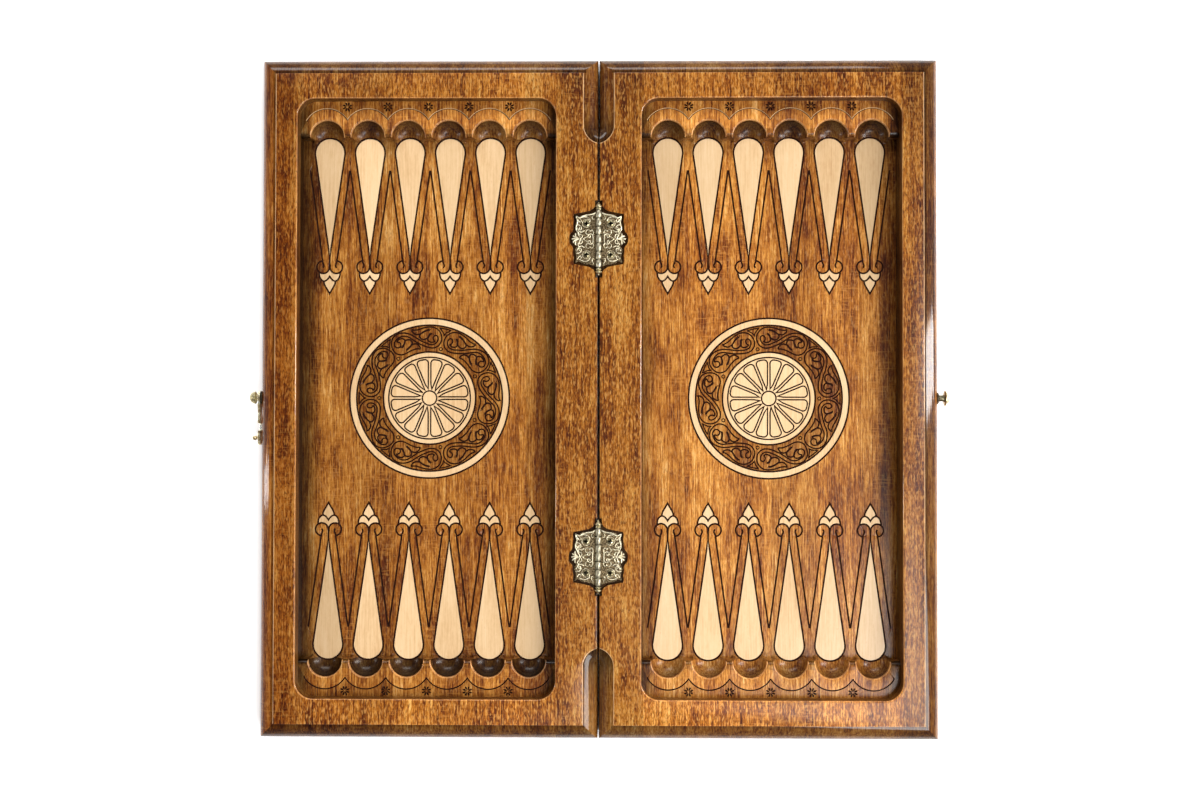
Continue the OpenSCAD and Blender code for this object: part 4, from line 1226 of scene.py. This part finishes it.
def stained_wood(name, bump, coat, coat_rough):
    """Dark-stained, lacquered beech: fine lines, short flecks, streaks, uneven stain, with painted
    shade, highlights and glints.
    """
    g = Graph(name)
    x, _, z = g.xyz()
    top = g.step(z, (TOP - 1) * MM, (TOP - 0.2) * MM)
    shift = stave_shift(g, 7)
    fibre = g.noise(900, 40, 3, 0.65, shift)
    mottle = g.noise(680, 170, 3, 0.7, shift)
    dash = g.noise(950, 270, 2, 0.6, shift)
    glint = g.noise(700, 190, 1, 0.5)
    streak = g.noise(120, 3.5, 3, 0.6, shift)
    cloud = g.noise(15, 10, 3, 0.55)
    patch = g.noise(60, 22, 2, 0.5, shift)
    depth = g.add(g.swing(mottle, g.add(0.6, g.mul(top, 0.6))), 0.5, g.swing(fibre, 1.4),
                  g.swing(streak, 0.75), g.swing(cloud, 0.65), g.swing(patch, 0.5))
    colour = g.ramp(depth, STAIN)
    dark = g.mul(g.step(dash, 0.49, 0.65, 0.0, 0.8), g.add(0.45, g.mul(top, 0.4)))
    colour = g.mix(dark, colour, DARK_FLECK)
    # pale flecks of the grain with painted glints: more on the tops and by the hinge line,
    # standing in for the lacquer's sparkle
    sparkle_by_hinge_line = g.step(g.size(x), 0.026, 0.044, 0.2, 0.0)
    light = g.mul(g.step(glint, 0.52, 0.70, 0.0, 0.72), g.add(0.3, sparkle_by_hinge_line, g.mul(top, 0.5)))
    colour = g.mix(light, colour, PALE_FLECK_AND_GLINT)
    # the rails took a redder stain, most of all the left one
    colour = g.mix(top, colour, RAIL_TINT, "MULTIPLY")
    colour = g.mix(g.step(x, -0.28, -0.262, 0.85, 0.0), colour, LEFT_TINT, "MULTIPLY")
    # ray figure: short bright waves across the grain, in places
    rays = g.mul(g.step(g.noise(75, 620, 2, 0.6, shift), 0.54, 0.66),
                 g.step(g.noise(13, 8, 1, 0.5, shift), 0.47, 0.6, 0.04, 0.32))
    colour = g.mix(rays, colour, RAY_FLECK)
    half_tones = stave_value(g, [0.5 * t for _, t in STAVES])
    # the stain together with painted shade and painted light
    shade = stain_and_painted_light(g, g.swing(cloud, 0.02))
    colour = g.scale_colour(colour, g.mul(half_tones, 2.0, shade))
    # rubbed wear and painted highlights: faces with a tone over 1.3 are mixed toward a pale colour
    rubbed = g.mul(g.step(g.tone(), 1.3, 2.3, 0.0, 0.8), g.step(fibre, 0.3, 0.6, 0.4))
    colour = g.mix(rubbed, colour, RUBBED_AND_HIGHLIGHT_COLOUR)
    relief = g.mul(g.sub(g.add(fibre, glint), g.mul(dash, 1.5)), g.add(0.5, g.mul(top, 0.5)))
    return g.finish(colour, g.step(dash, 0.3, 0.7, 0.36, 0.52), g.bump(relief, bump, 0.0005),
                    coat=coat, coat_rough=coat_rough, specular=0.06)


def light_wood():
    """Natural beech: pale, with fine fibres and small darker flecks."""
    g = Graph("light_beech")
    shift = stave_shift(g, 3)
    fibre = g.noise(800, 30, 3, 0.6, shift)
    fleck = g.noise(500, 160, 2, 0.6, shift)
    cloud = g.noise(22, 8, 2, 0.5, shift)
    total = g.add(g.mul(fibre, 0.5), g.mul(cloud, 0.5), g.swing(fleck, 0.25))
    colour = g.ramp(total, [(0.25, (0.62, 0.36, 0.16)), (0.5, (0.80, 0.54, 0.29)),
                            (0.75, (0.90, 0.65, 0.39))])
    colour = g.scale_colour(colour, g.tone())
    colour = g.mix(g.step(fleck, 0.66, 0.74, 0.0, 0.3), colour, (0.55, 0.28, 0.11))
    return g.finish(colour, g.step(fleck, 0.3, 0.7, 0.34, 0.44), g.bump(fibre, 0.15, 0.0003),
                    coat=0.4, coat_rough=0.18, specular=0.15)


def cut_line():
    """The bottom of the engraved lines, nearly black."""
    g = Graph("burnt_line")
    n = g.noise(900, 300, 2, 0.6)
    colour = g.ramp(n, [(0.3, (0.014, 0.004, 0.002)), (0.7, (0.036, 0.011, 0.005))])
    return g.finish(colour, g.step(n, 0.3, 0.7, 0.5, 0.7), g.bump(n, 0.2, 0.0002), specular=0.06)


def antique_brass(name, by_height):
    """Cast brass with a dark patina in its hollows and bright rubbed heights."""
    g = Graph(name)
    grit = g.noise(1500, 1500, 2, 0.7)
    dots = g.new("TexVoronoi", g.coords)
    dots.inputs["Scale"].default_value = 1150.0
    dots = dots.outputs[0]
    age = g.noise(120, 120, 3, 0.6)
    height = g.step(age, 0.35, 0.62, 0.25, 1.0)
    if by_height:
        height = g.step(g.xyz()[2], (LEAF_TOP - 0.55) * MM, (LEAF_TOP - 0.1) * MM)
    wear = g.math("ADD", height, g.step(dots, 0.2, 0.62, 0.55, 0.05), clamp=True)
    wear = g.math("ADD", wear, g.swing(age, 0.3), clamp=True)
    colour = g.ramp(wear, [(0.0, (0.045, 0.030, 0.018)), (0.35, (0.25, 0.18, 0.095)),
                           (0.75, (0.54, 0.43, 0.24)), (1.0, (0.95, 0.86, 0.62))])
    bump = g.bump(g.sub(g.mul(grit, 0.3), dots), 0.5, 0.0003)
    return g.finish(g.scale_colour(colour, g.tone()), g.step(wear, 0.0, 1.0, 0.55, 0.38), bump,
                    metal=1.0)


def bright_brass():
    """Turned brass, rubbed bright, with faint scratches and spots of tarnish."""
    g = Graph("bright_brass")
    age = g.noise(260, 260, 3, 0.6)
    colour = g.ramp(age, [(0.3, (0.26, 0.21, 0.11)), (0.5, (0.52, 0.45, 0.26)),
                          (0.7, (0.74, 0.67, 0.45))])
    bump = g.bump(g.noise(2500, 2500, 1, 0.5), 0.12, 0.0002)
    return g.finish(g.scale_colour(colour, g.tone()), g.step(age, 0.3, 0.7, 0.42, 0.3), bump,
                    metal=1.0)


def dark_brass():
    """Washer brass painted near black, painted shade where the washers sit under the hook and the
    pin's cap.
    """
    g = Graph("dark_brass")
    age = g.noise(300, 300, 3, 0.6)
    colour = g.ramp(age, [(0.3, (0.03, 0.025, 0.02)), (0.7, (0.14, 0.11, 0.07))])
    return g.finish(colour, g.step(age, 0.3, 0.7, 0.55, 0.38), g.bump(age, 0.2, 0.0003), metal=1.0)


MAT = {"stained": stained_wood("stained_beech", bump=0.45, coat=0.42, coat_rough=0.24),
       "line": cut_line(),
       "smooth": stained_wood("stained_beech_smooth", bump=0.1, coat=0.62, coat_rough=0.07),
       "light": light_wood(),
       "antique_brass": antique_brass("antique_brass", True),
       "antique_brass_side": antique_brass("antique_brass_worn", False),
       "bright_brass": bright_brass(), "dark_brass": dark_brass()}


# ---- floor, lights and camera --------------------------------------------------------

SKY_SIDE, SKY_TOP = 0.38, 0.02   # the sky's strength low down and overhead
LIGHTS = [("right_softbox", (1.5, 0.1, 1.0), (0.2, 1.6), 28),
          ("far_softbox", (-0.2, 1.6, 1.3), (1.8, 0.5), 19),
          ("left_strip", (-1.7, -0.2, 0.6), (0.1, 1.2), 6),
          ("corner_softbox", (1.0, -0.95, 2.3), (1.1, 1.1), 40)]


def link(name, data):
    ob = bpy.data.objects.new(name, data)
    bpy.context.scene.collection.objects.link(ob)
    return ob


def build_floor():
    """Pale floor that glows a little, but not under the board."""
    size, drop = 4.0, -0.0005
    me = bpy.data.meshes.new("floor")
    me.from_pydata([(x * size, y * size, drop) for x, y in ((-1, -1), (1, -1), (1, 1), (-1, 1))],
                   [], [(0, 1, 2, 3)])
    g = Graph("floor_white")
    x, y, _ = g.xyz()
    away = g.math("MAXIMUM", g.size(x), g.size(y))
    g.put(g.shader["Emission Color"], (1, 1, 1, 1))
    g.put(g.shader["Emission Strength"], g.step(away, 0.302, 0.313, 0.0, 0.6))
    me.materials.append(g.finish((0.95, 0.95, 0.95, 1), 0.9))
    link("floor", me)


def build_sky():
    """White sky, dim overhead."""
    world = bpy.data.worlds.new("studio")
    bpy.context.scene.world = world
    world.use_nodes = True
    tree = world.node_tree
    back = tree.nodes["Background"]
    back.inputs[0].default_value = (1, 1, 1, 1)
    place, split, dim = (tree.nodes.new("ShaderNode" + kind)
                         for kind in ("TexCoord", "SeparateXYZ", "MapRange"))
    dim.interpolation_type = "SMOOTHSTEP"
    for socket, value in zip(dim.inputs[1:5], (0.35, 0.9, SKY_SIDE, SKY_TOP)):
        socket.default_value = value
    tree.links.new(place.outputs["Generated"], split.inputs[0])
    tree.links.new(split.outputs[2], dim.inputs[0])
    tree.links.new(dim.outputs[0], back.inputs[1])


def build_studio():
    """Soft lights and the camera above the board."""
    for name, place, size, power in LIGHTS:
        data = bpy.data.lights.new(name, "AREA")
        data.shape, data.size, data.size_y, data.energy = "RECTANGLE", *size, power
        ob = link(name, data)
        ob.location = place
        ob.rotation_euler = (-Vector(place)).to_track_quat("-Z", "Y").to_euler()
    bpy.context.scene.view_settings.view_transform = "Standard"
    cam = link("camera", bpy.data.cameras.new("camera"))
    cam.data.sensor_width, cam.data.lens = 36, 39.46
    cam.location = (0.0168, -0.0212, 1.197)
    cam.rotation_euler = [math.radians(a) for a in (0.95, 0.76, 0.08)]
    bpy.context.scene.camera = cam


build_floor()
build_sky()
build_studio()
build_wood()
build_hinges()
build_latch()
